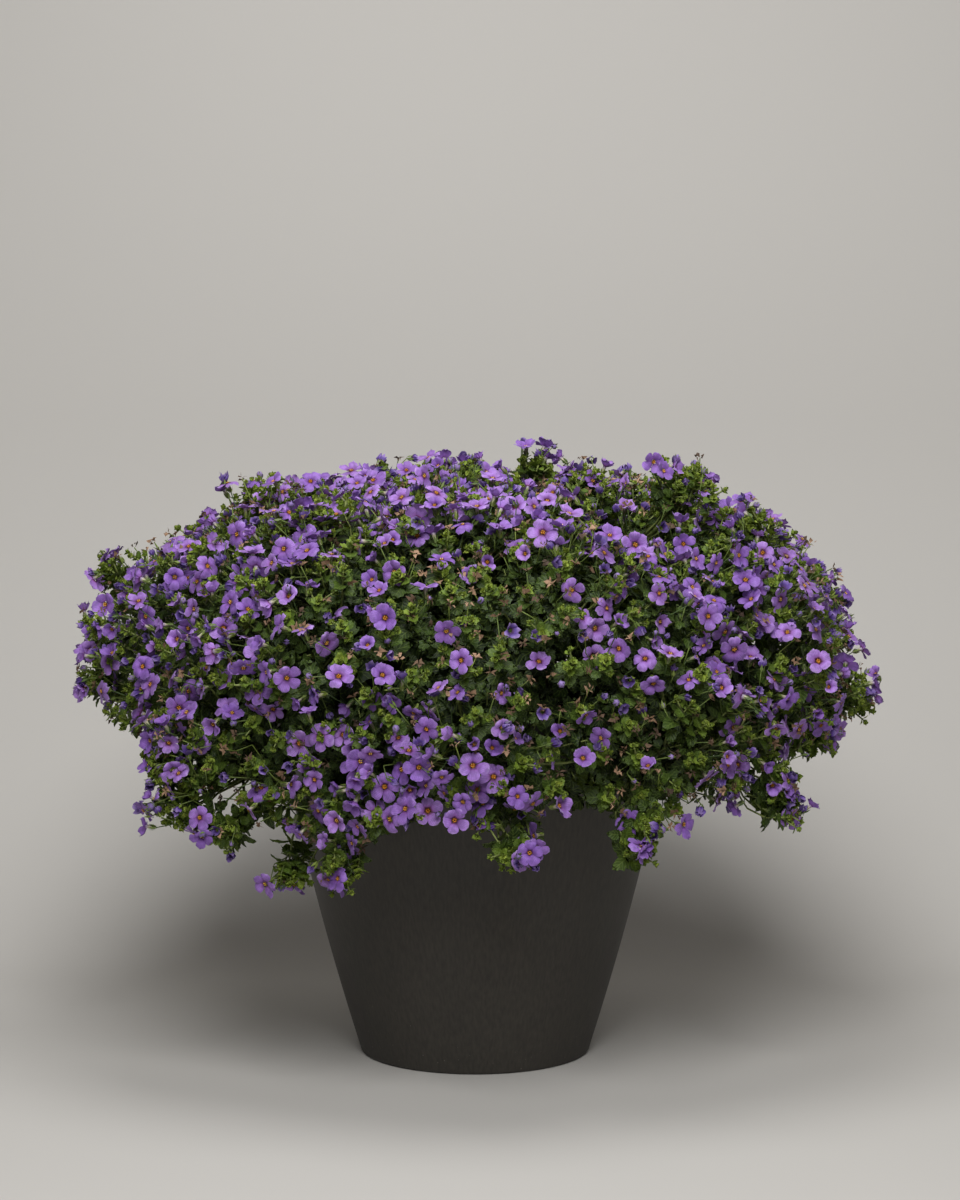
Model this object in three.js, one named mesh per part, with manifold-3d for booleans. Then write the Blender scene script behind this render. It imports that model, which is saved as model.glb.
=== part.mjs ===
// A potted bacopa, a bedding and balcony flower: a broad mound of leafy, flowering stems
// that spills over the rim of a tapered, dark planter.
// Millimetres, +Z up. The origin is the middle of the planter's flat underside, and the
// front of the plant faces -Y.
//
// Every leafy stem stands in its own hole in the potting soil and ends in a bushy spray:
// a core of crowded shoots, with toothed leaves standing out of it. A cluster of blooms,
// which hold together where their petals overlap, stands in a socket in each core. The
// sprays share the mound without touching: seen from the plant's heart each has a cell of
// its own, and all points of a spray lie inside its cell.
import * as THREE from "three";
import { mergeVertices } from "three/addons/utils/BufferGeometryUtils.js";
import Module from "manifold-3d";

const wasm = await Module();
wasm.setup();

// Planter
const POT_HEIGHT = 240;
const POT_BASE_RADIUS = 75.5;
const POT_FLARE = 0.315; // outward slope of the wall at the base
const POT_BEND = 0.000289; // how fast that slope eases towards the rim, per mm
const POT_WALL = 6;
const POT_FLOOR = 8;
const POT_EDGE = 3; // rounding of the foot
const RIM_EDGE = 1.2; // rounding of the rim
const POT_SIDES = 32;
const POT_STEPS = 4; // rings up the outside of the wall
const INNER_STEPS = 2; // rings up its inside, as far as the soil
const DRILL = 32; // length of what cuts a drain hole
const DRAINS = 5;
const DRAIN_RADIUS = 6;
const DRAIN_CIRCLE = 45; // distance of the drain holes from the middle
const DRAIN_SIDES = 8;

// Soil
const SOIL_TOP = 222;
const SOIL_CROWN = 3; // how much higher the soil is in the middle
const SOIL_ROUND = { share: 0.55, height: 0.8 }; // where its top is rounded, from middle to edge
const HOLE_DEPTH = 22;
const HOLE_CUT = 20; // how far above the soil a hole is cut
const GAP = 0.35; // clearance between pieces that rest in each other

// The mound, seen from the plant's heart
const HEART = new THREE.Vector3(0, 0, 200);
const MOUND_REACH = 250; // sideways
const MOUND_RISE = 188; // upwards
const MOUND_SAG = 78; // downwards, where the skirt curls in under itself
const MOUND_SQUARENESS = 3; // exponent of the profile: 2 would be an ellipse
const LUMP_HEIGHT = 0.05; // how far a spray swells out of the mound, as a share of its reach
const LUMP_WIDTH = 0.18; // radians
const CELL_REACH = 0.42; // widest half-angle of a spray, as a tangent
const CELL_MARGIN = 0.6; // mm left free at each side of a border between cells

// One row for each spray: azimuth and elevation in degrees, extra swell, and for a spray of
// the skirt how many degrees it hangs below its aim. Azimuth 0 is +X and 270 is the front.
const TIERS = {
  skirt: [
    [190, 11, -0.03, 9],
    [218, 3, -0.01, 15],
    [243, -3, -0.02, 11],
    [270, 7, 0, 12],
    [308, 6, -0.01, 10],
    [334, 9, -0.01, 8],
    [0, 9, -0.01, 8],
    [32, 2, 0, 14],
    [67, 3, 0, 17],
    [105, 2, 0, 17],
    [147, 7, -0.02, 10],
  ],
  shoulder: [
    [182, 31, -0.01],
    [236, 32, -0.01],
    [285, 33, 0],
    [333, 31, 0.01],
    [24, 30, 0],
    [76, 30, 0],
    [128, 30, -0.03],
  ],
  crown: [
    [262, 60, -0.01],
    [334, 57, 0.04],
    [46, 58, 0],
    [118, 59, -0.01],
    [190, 58, -0.03],
    [240, 88, -0.01],
  ],
};

// Stems
const STEM_RADIUS = 3.6;
const STEM_SIDES = 4;
const STEM_STEPS = 2; // pieces of a stem's bend
const STEM_STRAIGHT = 5; // how far a stem rises straight out of the soil
const STEM_CLIMB = 34; // height of the bend's control point above that
const STEM_END_DEPTH = 82; // below the mound's surface, inside the core
const STEM_SPREAD = 112; // distance of a level spray's stem from the middle, in the soil
const RIM_CLEARANCE = 18; // of the stems that go over the planter's rim

// Cores of crowded shoots: rings at a share of the way to the cell's edge, and the depth
// of each below the mound's surface
const SECTORS = 8;
const CORE_TOP_DEPTH = 16;
const CORE_UPPER = { share: 0.5, depth: 18, turn: 0.5 };
const CORE_WIDE = { share: 0.93, depth: 28, turn: 0 };
const CORE_LOWER = { share: 0.76, depth: 70, turn: 0.5, count: 5 };
const CORE_BOTTOM_DEPTH = 106;
const CORE_ROUGHNESS = 0.3; // random part of a ring's depth
const CORE_POT_GAP = 10; // from the planter's wall
const SOCKET_RADIUS = 4.2;
const SOCKET_DEPTH = 12;
const SOCKET_SIDES = 3;
const SHOOTS = 9; // faces of a core that swell into a shoot
const SHOOT_HEIGHT = [5.4, 12.6]; // least and most
const SHOOT_LEAN = 7;
const SHOOT_DEPTH = 9.5; // least depth of a shoot's tip

// Leaves
const LEAVES = 8; // in a spray
const LEAF_LENGTH = 38;
const LEAF_WIDTH = 30;
const LEAF_SIZES = [0.85, 1.1]; // least and most, as shares of these
const LEAF_CUP = 2.2; // how far its sides rise
const LEAF_DROOP = 2.5; // how far its tip sinks
const LEAF_RIB = { upper: 0.5, lower: 0.46, rise: 0.3 }; // the thickest place of its midrib
const LEAF_KEEL = 1.8; // thickness there
const LEAF_SINK = 4; // how deep its root lies in the core
const LEAF_TURNS = [0, 0.2, -0.2, 0.4, -0.4]; // ways a leaf may lean, from straight outwards
const LEAF_STRAY = 0.1; // random part of that
const LEAF_LEANS = [1.3, 2.1, 0.9]; // how far it leans
const LEAF_SQUEEZE = 5; // mm that the border of its cell may push its tip back
// Half an outline from stalk to tip, as shares of length and half width: tooth, notch, tooth
const LEAF_HALF = [
  [0.32, 0.96],
  [0.52, 0.72],
  [0.7, 0.86],
];

// Blooms
const BLOOMS = 10; // in a cluster
const BLOOM_RADIUS = 15.5;
const BLOOM_SIZES = [0.9, 1.08]; // least and most, as shares of this
const BLOOM_NOTCH = 0.64; // radius of the gap between petals, as a share
const BLOOM_PETALS = 5;
const BLOOM_CUP = 1.5; // how far the petals' tips stand forward
const BLOOM_THROAT = 3; // depth of the throat
const BLOOM_TUBE = 7.5; // length of the tube behind the petals
const BLOOM_LIFT = 3; // above the mound's surface
const BLOOM_JOINT = 4; // width of the place where two petals meet
const BLOOM_EDGE = 1; // thickness there
const BLOOM_APART = 0.98; // least distance of two blooms, as a share of their radii
const BRANCHES = 2; // blooms that hang on one, and one more on the first
const BLOOM_ROOM = 10; // from a bloom's middle to the border of its cell
const BLOOM_CLEAR = 1; // between a bloom and a leaf
const NECK_RISE = 2; // how far a cluster's stalk stands straight out of its socket

const SHORT_EDGE = 0.1; // mm
const MERGE_DISTANCE = 1e-4; // mm
const FACING_STEP = 0.02; // radians between the points that show how the mound's surface faces
const UP = new THREE.Vector3(0, 0, 1);
const turnOf = (share) => 2 * Math.PI * share;
const between = ([least, most], share) => least + (most - least) * share;

// What a random number is drawn for
const DRAWS = { phase: 0, leafOrder: 4, leafTurn: 5, leafSize: 6, bloomSize: 23 };
Object.assign(DRAWS, { shoot: 30, shootHeight: 31, shootTurn: 32 });

// A number from 0 to 1 that depends only on three whole numbers.
function draw(spray, item, kind) {
  const x = Math.sin(spray * 127.1 + item * 311.7 + kind * 74.7) * 43758.5453;
  return x - Math.floor(x);
}

function direction(azimuth, elevation) {
  const a = THREE.MathUtils.degToRad(azimuth);
  const e = THREE.MathUtils.degToRad(elevation);
  return new THREE.Vector3(Math.cos(e) * Math.cos(a), Math.cos(e) * Math.sin(a), Math.sin(e));
}

// Each spray has two directions across it: sideways, and up its face.
const SPRAYS = Object.entries(TIERS).flatMap(([tier, rows]) =>
  rows.map(([azimuth, elevation, swell, droop], k) => {
    const aim = direction(azimuth, elevation);
    const side = UP.clone().cross(aim).normalize();
    const up = aim.clone().cross(side).normalize();
    const below = droop && direction(azimuth, elevation - 2 * droop);
    return { name: `${tier}_${k + 1}`, tier, swell, aim, side, up, below };
  }),
);

// The border of a cell with each neighbour is the plane halfway between their aims, and a
// border's direction points out of the cell. A skirt spray has one more border, below it.
SPRAYS.forEach((spray, number) => {
  spray.number = number;
  spray.phase = draw(number, 0, DRAWS.phase) * turnOf(1 / SECTORS);
  const others = SPRAYS.filter((other) => other !== spray).map((other) => other.aim);
  if (spray.below) others.push(spray.below);
  spray.borders = others.map((aim) => aim.clone().sub(spray.aim).normalize());
});

// How far the mound reaches from its heart in one direction.
function reach(v) {
  const across = Math.hypot(v.x, v.y) / MOUND_REACH;
  const along = Math.abs(v.z) / (v.z > 0 ? MOUND_RISE : MOUND_SAG);
  const n = MOUND_SQUARENESS;
  const plain = (across ** n + along ** n) ** (-1 / n);
  let swell = 0;
  for (const spray of SPRAYS) {
    const angle = Math.acos(Math.min(1, spray.aim.dot(v)));
    swell += (LUMP_HEIGHT + spray.swell) * Math.exp(-((angle / LUMP_WIDTH) ** 2));
  }
  return plain * (1 + swell);
}

// A point at some depth below the mound's surface.
function under(v, depth) {
  return HEART.clone().addScaledVector(v, reach(v) - depth);
}

function acrossAt(spray, angle) {
  const sideways = spray.side.clone().multiplyScalar(Math.cos(angle));
  return sideways.addScaledVector(spray.up, Math.sin(angle));
}

// The direction that lies a share of the way to the edge of a spray's cell.
function inCell(spray, angle, share) {
  const across = acrossAt(spray, angle);
  const leaving = spray.borders.filter((border) => border.dot(across) > 1e-9);
  const edges = leaving.map((border) => -spray.aim.dot(border) / across.dot(border));
  const edge = Math.min(CELL_REACH, ...edges);
  return spray.aim.clone().addScaledVector(across, share * edge).normalize();
}

// How far a point is inside a spray's cell.
function roomAt(spray, p) {
  const outwards = p.clone().sub(HEART);
  return Math.min(...spray.borders.map((border) => -outwards.dot(border)));
}

// Moves a point back into a spray's cell.
function keepInCell(spray, p) {
  for (const border of spray.borders) {
    const over = p.clone().sub(HEART).dot(border) + CELL_MARGIN;
    if (over > 0) p.addScaledVector(border, -over);
  }
  return p;
}

function potRadius(z) {
  return POT_BASE_RADIUS + POT_FLARE * z - POT_BEND * z * z;
}

// Moves a point that lies too near the planter outwards.
function keepOffPot(p) {
  const flat = Math.hypot(p.x, p.y);
  const least = potRadius(Math.min(p.z, POT_HEIGHT)) + CORE_POT_GAP;
  if (p.z < POT_HEIGHT + CORE_POT_GAP && flat < least) {
    p.x *= least / flat;
    p.y *= least / flat;
  }
  return p;
}

// A closed surface, made of rings of points that are joined one after another.
class Skin {
  constructor() {
    this.points = [];
    this.faces = [];
  }

  point(p) {
    this.points.push(p);
    return this.points.length - 1;
  }

  ring(list) {
    return list.map((p) => this.point(p));
  }

  face(a, b, c) {
    this.faces.push([a, b, c]);
  }

  // Faces from a ring to one point beyond it.
  fan(ring, tip) {
    ring.forEach((a, k) => this.face(a, ring[(k + 1) % ring.length], tip));
  }

  // Faces across a ring, from its first point.
  cap(ring) {
    for (let k = 1; k < ring.length - 1; k += 1) this.face(ring[0], ring[k], ring[k + 1]);
  }

  // Faces between two rings, which may differ in number. Both run the same way round.
  bridge(lower, upper) {
    let i = 0;
    let j = 0;
    while (i < lower.length || j < upper.length) {
      const a = lower[i % lower.length];
      const b = upper[j % upper.length];
      const lowerNext = (i + 1) / lower.length <= (j + 1) / upper.length;
      if (j === upper.length || (i < lower.length && lowerNext)) {
        this.face(a, lower[(i + 1) % lower.length], b);
        i += 1;
      } else {
        this.face(a, upper[(j + 1) % upper.length], b);
        j += 1;
      }
    }
  }

  geometry() {
    const g = new THREE.BufferGeometry();
    const numbers = this.points.flatMap((p) => p.toArray());
    g.setAttribute("position", new THREE.Float32BufferAttribute(numbers, 3));
    g.setIndex(this.faces.flat());
    g.computeVertexNormals();
    return g;
  }
}

function solidOf(geometry) {
  const bare = geometry.clone();
  bare.deleteAttribute("normal");
  bare.deleteAttribute("uv");
  const merged = mergeVertices(bare, MERGE_DISTANCE);
  return new wasm.Manifold(
    new wasm.Mesh({
      numProp: 3,
      vertProperties: new Float32Array(merged.attributes.position.array),
      triVerts: new Uint32Array(merged.index.array),
    }),
  );
}

// The faces of the largest body. A sealed hollow or a loose scrap, which joining solids can
// leave, is a body of its own.
function largestBody(faces) {
  const label = new Map();
  const root = (index) => {
    let k = index;
    while ((label.get(k) ?? k) !== k) k = label.get(k);
    return k;
  };
  for (const [a, b, c] of faces) {
    label.set(root(b), root(a));
    label.set(root(c), root(a));
  }
  const sizes = new Map();
  for (const [a] of faces) sizes.set(root(a), (sizes.get(root(a)) ?? 0) + 1);
  const [largest] = [...sizes].sort((p, q) => q[1] - p[1])[0];
  return faces.filter(([a]) => root(a) === largest);
}

// Draws together the ends of each edge that is too short to matter. Joining solids leaves
// some. An edge stays if its ends share more than the two neighbours beside it.
function closeShortEdges(points, faces) {
  const tried = new Set();
  for (;;) {
    const sides = faces.flatMap(([a, b, c]) => [[a, b], [b, c], [c, a]]);
    const short = sides.find(([a, b]) => {
      return a < b && !tried.has(`${a} ${b}`) && points[a].distanceTo(points[b]) < SHORT_EDGE;
    });
    if (!short) return faces;
    const [kept, gone] = short;
    tried.add(`${kept} ${gone}`);
    const around = (index) => new Set(faces.filter((face) => face.includes(index)).flat());
    const others = around(gone);
    const shared = [...around(kept)].filter((index) => others.has(index));
    if (shared.length > 4) continue;
    faces = faces.map((face) => face.map((index) => (index === gone ? kept : index)));
    faces = faces.filter(([a, b, c]) => a !== b && b !== c && c !== a);
  }
}

function geometryOf(solid) {
  const mesh = solid.getMesh();
  const [numbers, indices] = [mesh.vertProperties, mesh.triVerts];
  const skin = new Skin();
  for (let k = 0; k < numbers.length; k += 3) {
    skin.point(new THREE.Vector3(numbers[k], numbers[k + 1], numbers[k + 2]));
  }
  for (let k = 0; k < indices.length; k += 3) {
    skin.face(indices[k], indices[k + 1], indices[k + 2]);
  }
  skin.faces = closeShortEdges(skin.points, largestBody(skin.faces));
  return skin.geometry();
}

// Points round a centre, in the plane of two unit directions.
function circle(centre, first, second, radius, count, turn = 0) {
  return Array.from({ length: count }, (_, k) => {
    const angle = turn + turnOf(k / count);
    const p = centre.clone().addScaledVector(first, radius * Math.cos(angle));
    return p.addScaledVector(second, radius * Math.sin(angle));
  });
}

// A profile of radius and height, turned round the upright axis.
function turned(profile, sides) {
  const points = profile.map(([radius, z]) => new THREE.Vector2(radius, z));
  return new THREE.LatheGeometry(points, sides).rotateX(Math.PI / 2);
}

function wallProfile(offset, from, to, steps) {
  return Array.from({ length: steps + 1 }, (_, k) => {
    const z = from + ((to - from) * k) / steps;
    return [potRadius(z) - offset, z];
  });
}

function potGeometry() {
  const outer = wallProfile(0, POT_EDGE, POT_HEIGHT - RIM_EDGE, POT_STEPS);
  const inner = wallProfile(POT_WALL, SOIL_TOP, POT_FLOOR, INNER_STEPS);
  const rim = potRadius(POT_HEIGHT);
  const profile = [
    [0, 0],
    [potRadius(0) - POT_EDGE, 0],
    ...outer,
    [rim - RIM_EDGE, POT_HEIGHT],
    [rim - POT_WALL + RIM_EDGE, POT_HEIGHT],
    [rim - POT_WALL, POT_HEIGHT - RIM_EDGE],
    ...inner,
    [0, POT_FLOOR],
  ];
  let pot = solidOf(turned(profile, POT_SIDES));
  for (let k = 0; k < DRAINS; k += 1) {
    const angle = turnOf(k / DRAINS);
    const hole = new THREE.CylinderGeometry(DRAIN_RADIUS, DRAIN_RADIUS, DRILL, DRAIN_SIDES);
    hole.rotateX(Math.PI / 2);
    hole.translate(DRAIN_CIRCLE * Math.cos(angle), DRAIN_CIRCLE * Math.sin(angle), 0);
    pot = pot.subtract(solidOf(hole));
  }
  return geometryOf(pot);
}

// Where a spray's stem stands in the soil.
function stemFoot(spray) {
  const level = Math.hypot(spray.aim.x, spray.aim.y);
  const flat = new THREE.Vector3(spray.aim.x, spray.aim.y, 0);
  return flat.normalize().multiplyScalar(STEM_SPREAD * level ** 1.5).setZ(SOIL_TOP);
}

function uprightRod(foot, radius, from, to) {
  const skin = new Skin();
  const [x, y] = [new THREE.Vector3(1, 0, 0), new THREE.Vector3(0, 1, 0)];
  const low = skin.ring(circle(foot.clone().setZ(from), x, y, radius, STEM_SIDES));
  const high = skin.ring(circle(foot.clone().setZ(to), x, y, radius, STEM_SIDES));
  skin.cap([...low].reverse());
  skin.bridge(low, high);
  skin.cap(high);
  return skin.geometry();
}

function soilGeometry() {
  const side = wallProfile(POT_WALL + GAP, POT_FLOOR + GAP, SOIL_TOP, INNER_STEPS);
  const edge = potRadius(SOIL_TOP) - POT_WALL - GAP;
  const profile = [
    [0, POT_FLOOR + GAP],
    ...side,
    [edge * SOIL_ROUND.share, SOIL_TOP + SOIL_CROWN * SOIL_ROUND.height],
    [0, SOIL_TOP + SOIL_CROWN],
  ];
  let soil = solidOf(turned(profile, POT_SIDES));
  const radius = STEM_RADIUS + GAP / Math.cos(Math.PI / STEM_SIDES);
  for (const spray of SPRAYS) {
    const [from, to] = [SOIL_TOP - HOLE_DEPTH, SOIL_TOP + HOLE_CUT];
    soil = soil.subtract(solidOf(uprightRod(stemFoot(spray), radius, from, to)));
  }
  return geometryOf(soil);
}

// The points that a stem follows, from the soil into its spray's core.
function stemPath(spray) {
  const foot = stemFoot(spray);
  const bottom = foot.clone().setZ(SOIL_TOP - HOLE_DEPTH + GAP);
  const start = foot.clone().setZ(SOIL_TOP + SOIL_CROWN + STEM_STRAIGHT);
  const end = under(spray.aim, STEM_END_DEPTH);
  if (spray.tier === "skirt") {
    const rim = foot.clone().setZ(0).normalize().multiplyScalar(potRadius(POT_HEIGHT));
    return [bottom, start, rim.setZ(POT_HEIGHT + RIM_CLEARANCE), end];
  }
  const control = start.clone().setZ(start.z + STEM_CLIMB);
  const bend = new THREE.QuadraticBezierCurve3(start, control, end);
  return [bottom, start, ...bend.getPoints(STEM_STEPS).slice(1)];
}

function stemGeometry(spray) {
  const skin = new Skin();
  const path = stemPath(spray);
  let first = new THREE.Vector3(1, 0, 0);
  let last = null;
  path.forEach((p, k) => {
    const before = path[Math.max(0, k - 1)];
    const after = path[Math.min(path.length - 1, k + 1)];
    const along = k < 2 ? UP.clone() : after.clone().sub(before).normalize();
    first = first.clone().addScaledVector(along, -first.dot(along)).normalize();
    const ring = skin.ring(circle(p, first, along.clone().cross(first), STEM_RADIUS, STEM_SIDES));
    if (last) skin.bridge(last, ring);
    else skin.cap([...ring].reverse());
    last = ring;
  });
  skin.cap(last);
  return skin.geometry();
}

function coreRing(spray, { share, depth, turn, count = SECTORS }) {
  return Array.from({ length: count }, (_, k) => {
    const angle = spray.phase + turnOf((k + turn - CORE_UPPER.turn) / count);
    const rough = 1 + CORE_ROUGHNESS * (draw(spray.number, k, depth) - 0.5);
    const p = under(inCell(spray, angle, share), depth * rough);
    return keepInCell(spray, keepOffPot(p));
  });
}

function socketRing(spray, depth, radius) {
  return circle(under(spray.aim, depth), spray.side, spray.up, radius, SOCKET_SIDES, spray.phase);
}

// A face of the core. One between the wide and the upper ring may swell into a shoot.
function growShoot(skin, spray, face, { a, b, c }, seed) {
  const places = 2 * SECTORS;
  if (seed >= places || draw(spray.number, seed, DRAWS.shoot) > SHOOTS / places) {
    skin.face(...face);
    return;
  }
  const height = between(SHOOT_HEIGHT, draw(spray.number, seed, DRAWS.shootHeight));
  const lean = acrossAt(spray, turnOf(draw(spray.number, seed, DRAWS.shootTurn)));
  const tip = a.clone().add(b).add(c).divideScalar(3).addScaledVector(spray.aim, height);
  tip.addScaledVector(lean, SHOOT_LEAN).sub(HEART);
  tip.clampLength(0, reach(tip.clone().normalize()) - SHOOT_DEPTH).add(HEART);
  skin.fan(face, skin.point(keepInCell(spray, tip)));
}

// The core of a spray, with the socket for its cluster of blooms, and the faces that its
// leaves grow out of.
function buildCore(spray) {
  const skin = new Skin();
  const bottom = skin.point(keepOffPot(under(spray.aim, CORE_BOTTOM_DEPTH)));
  const lower = skin.ring(coreRing(spray, CORE_LOWER));
  const wide = skin.ring(coreRing(spray, CORE_WIDE));
  const upper = skin.ring(coreRing(spray, CORE_UPPER));
  const mouth = skin.ring(socketRing(spray, CORE_TOP_DEPTH, SOCKET_RADIUS));
  const floor = skin.ring(socketRing(spray, CORE_TOP_DEPTH + SOCKET_DEPTH, SOCKET_RADIUS));
  skin.fan([...lower].reverse(), bottom);
  skin.bridge(lower, wide);
  const first = skin.faces.length;
  skin.bridge(wide, upper);
  skin.bridge(upper, mouth);
  const crust = skin.faces.splice(first);
  const leafy = crust.map((face) => {
    return new THREE.Triangle(...face.map((index) => skin.points[index]));
  });
  crust.forEach((face, k) => growShoot(skin, spray, face, leafy[k], k));
  skin.bridge(mouth, floor);
  skin.cap(floor);
  return { geometry: skin.geometry(), leafy };
}

// A toothed leaf, thick along its midrib and thin at its edges, cupped upwards.
function leafGeometry(spray, root, along, size) {
  const outward = root.clone().sub(HEART).normalize();
  const upper = outward.addScaledVector(along, -outward.dot(along)).normalize();
  const side = along.clone().cross(upper).normalize();
  const at = (share, half, rise) => {
    const p = root.clone().addScaledVector(along, share * LEAF_LENGTH * size);
    p.addScaledVector(side, 0.5 * half * LEAF_WIDTH * size);
    return keepInCell(spray, p.addScaledVector(upper, rise * size));
  };
  const right = LEAF_HALF.map(([share, half]) => at(share, half, LEAF_CUP * half));
  const left = LEAF_HALF.map(([share, half]) => at(share, -half, LEAF_CUP * half)).reverse();
  const skin = new Skin();
  const outline = skin.ring([at(0, 0, 0), ...right, at(1, 0, -LEAF_DROOP), ...left]);
  skin.fan(outline, skin.point(at(LEAF_RIB.upper, 0, LEAF_RIB.rise)));
  const keel = skin.point(at(LEAF_RIB.lower, 0, LEAF_RIB.rise - LEAF_KEEL));
  skin.fan([...outline].reverse(), keel);
  return skin.geometry();
}

function touches(one, other) {
  return one.intersect(other).getMesh().triVerts.length > 0;
}

// The first way for a leaf to lean that keeps it in its cell and clear of the blooms.
function fitLeaf(spray, face, seed, core, blooms) {
  const root = face.getMidpoint(new THREE.Vector3());
  root.addScaledVector(face.getNormal(new THREE.Vector3()), -LEAF_SINK);
  const outward = root.clone().sub(HEART).normalize();
  const own = outward.clone().sub(spray.aim);
  const away = Math.atan2(own.dot(spray.up), own.dot(spray.side));
  const size = between(LEAF_SIZES, draw(spray.number, seed, DRAWS.leafSize));
  const stray = LEAF_STRAY * (draw(spray.number, seed, DRAWS.leafTurn) - 0.5);
  for (const lean of LEAF_LEANS) {
    for (const turn of LEAF_TURNS) {
      const across = acrossAt(spray, away + turnOf(turn + stray));
      const along = outward.clone().addScaledVector(across, lean).normalize();
      const tip = root.clone().addScaledVector(along, LEAF_LENGTH * size);
      if (roomAt(spray, tip) < -LEAF_SQUEEZE) continue;
      const leaf = solidOf(leafGeometry(spray, root, along, size));
      if (!touches(leaf, blooms) && touches(leaf, core)) return leaf;
    }
  }
  return null;
}

function foliageGeometry(spray) {
  const { geometry, leafy } = buildCore(spray);
  const blooms = solidOf(growCluster(spray, BLOOM_CLEAR));
  const core = solidOf(geometry);
  let solid = core.add(solidOf(stemGeometry(spray)));
  const rank = (k) => draw(spray.number, k, DRAWS.leafOrder);
  const order = leafy.map((_, k) => k).sort((a, b) => rank(a) - rank(b));
  let grown = 0;
  for (const k of order) {
    const leaf = grown < LEAVES && fitLeaf(spray, leafy[k], k, core, blooms);
    if (!leaf) continue;
    solid = solid.add(leaf);
    grown += 1;
  }
  return geometryOf(solid);
}

// The outward direction of the mound's surface.
function facingAt(v) {
  const first = v.clone().cross(Math.abs(v.z) < 0.9 ? UP : new THREE.Vector3(1, 0, 0)).normalize();
  const second = v.clone().cross(first);
  const here = under(v, 0);
  const step = (way) => under(v.clone().addScaledVector(way, FACING_STEP).normalize(), 0).sub(here);
  return step(first).cross(step(second)).normalize();
}

function placeBloom(v, towards, size) {
  const centre = under(v, -BLOOM_LIFT);
  const facing = facingAt(v);
  const x = towards.clone().sub(centre);
  x.addScaledVector(facing, -x.dot(facing)).normalize();
  return { centre, facing, x, y: facing.clone().cross(x), size, joined: new Map() };
}

// The blooms of a spray. The first stands in the middle, and each other one meets a petal
// of its parent with a petal of its own, its number 0. They branch outwards.
function placeBlooms(spray) {
  const beside = under(spray.aim, 0).add(acrossAt(spray, spray.phase));
  const blooms = [placeBloom(spray.aim, beside, BLOOM_RADIUS)];
  for (const parent of blooms) {
    const petals = parent.parent ? [2, 3, 1, 4] : [0, 2, 3, 1, 4];
    for (const petal of petals) {
      const enough = parent.joined.size === (parent.parent ? BRANCHES : BRANCHES + 1);
      if (enough || blooms.length === BLOOMS) break;
      const angle = turnOf(petal / BLOOM_PETALS);
      const share = between(BLOOM_SIZES, draw(spray.number, blooms.length, DRAWS.bloomSize));
      const size = BLOOM_RADIUS * share;
      const step = parent.size + size;
      const target = parent.centre.clone().addScaledVector(parent.x, step * Math.cos(angle));
      target.addScaledVector(parent.y, step * Math.sin(angle));
      const v = target.sub(HEART).normalize();
      const bloom = placeBloom(v, parent.centre, size);
      const crowded = blooms.some((other) => {
        const apart = other === parent ? 0 : BLOOM_APART * (other.size + size);
        return other.centre.distanceTo(bloom.centre) < apart;
      });
      const far = v.dot(spray.aim) < Math.cos(Math.atan(CELL_REACH));
      if (crowded || far || roomAt(spray, bloom.centre) < BLOOM_ROOM) continue;
      parent.joined.set(petal, bloom);
      bloom.parent = parent;
      blooms.push(bloom);
    }
  }
  return blooms;
}

// The four corners where two petals meet, in the parent's order round its middle.
function growJoint(skin, spray, parent, child, more) {
  const middle = parent.centre.clone().lerp(child.centre, parent.size / (parent.size + child.size));
  const facing = parent.facing.clone().add(child.facing).normalize();
  const across = facing.clone().cross(child.centre.clone().sub(parent.centre)).normalize();
  const corner = (side, level) => {
    const p = middle.clone().addScaledVector(across, side * (BLOOM_JOINT / 2 + more));
    p.addScaledVector(facing, BLOOM_CUP + level * (BLOOM_EDGE / 2 + more));
    return skin.point(keepInCell(spray, p));
  };
  return { top: [corner(-1, 1), corner(1, 1)], bottom: [corner(-1, -1), corner(1, -1)] };
}

// The petals of one bloom: a shallow five-pointed funnel. Where a petal meets another
// bloom its tip is the joint that both share.
function growBloom(skin, spray, bloom, more) {
  const { centre, facing, x, y, size } = bloom;
  const rim = (turn, share, rise) => {
    const radius = size * share + more;
    const p = centre.clone().addScaledVector(facing, rise);
    p.addScaledVector(x, radius * Math.cos(turn)).addScaledVector(y, radius * Math.sin(turn));
    return skin.point(keepInCell(spray, p));
  };
  const notches = Array.from({ length: BLOOM_PETALS }, (_, k) => {
    return rim(turnOf((k + 0.5) / BLOOM_PETALS), BLOOM_NOTCH, 0);
  });
  const [top, bottom] = [[], []];
  for (let k = 0; k < BLOOM_PETALS; k += 1) {
    const child = bloom.joined.get(k);
    if (child) child.joint = growJoint(skin, spray, bloom, child, more);
    const fromParent = bloom.parent && k === 0;
    if (child || fromParent) {
      const { top: high, bottom: low } = (child || bloom).joint;
      const [first, last] = child ? [0, 1] : [1, 0];
      top.push(high[first], high[last]);
      bottom.push(low[first], low[last]);
      skin.face(high[first], notches[(k + BLOOM_PETALS - 1) % BLOOM_PETALS], low[first]);
      skin.face(notches[k], high[last], low[last]);
    } else {
      const tip = rim(turnOf(k / BLOOM_PETALS), 1, BLOOM_CUP);
      top.push(tip);
      bottom.push(tip);
    }
    top.push(notches[k]);
    bottom.push(notches[k]);
  }
  skin.fan(top, skin.point(centre.clone().addScaledVector(facing, more - BLOOM_THROAT)));
  return bottom;
}

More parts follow.
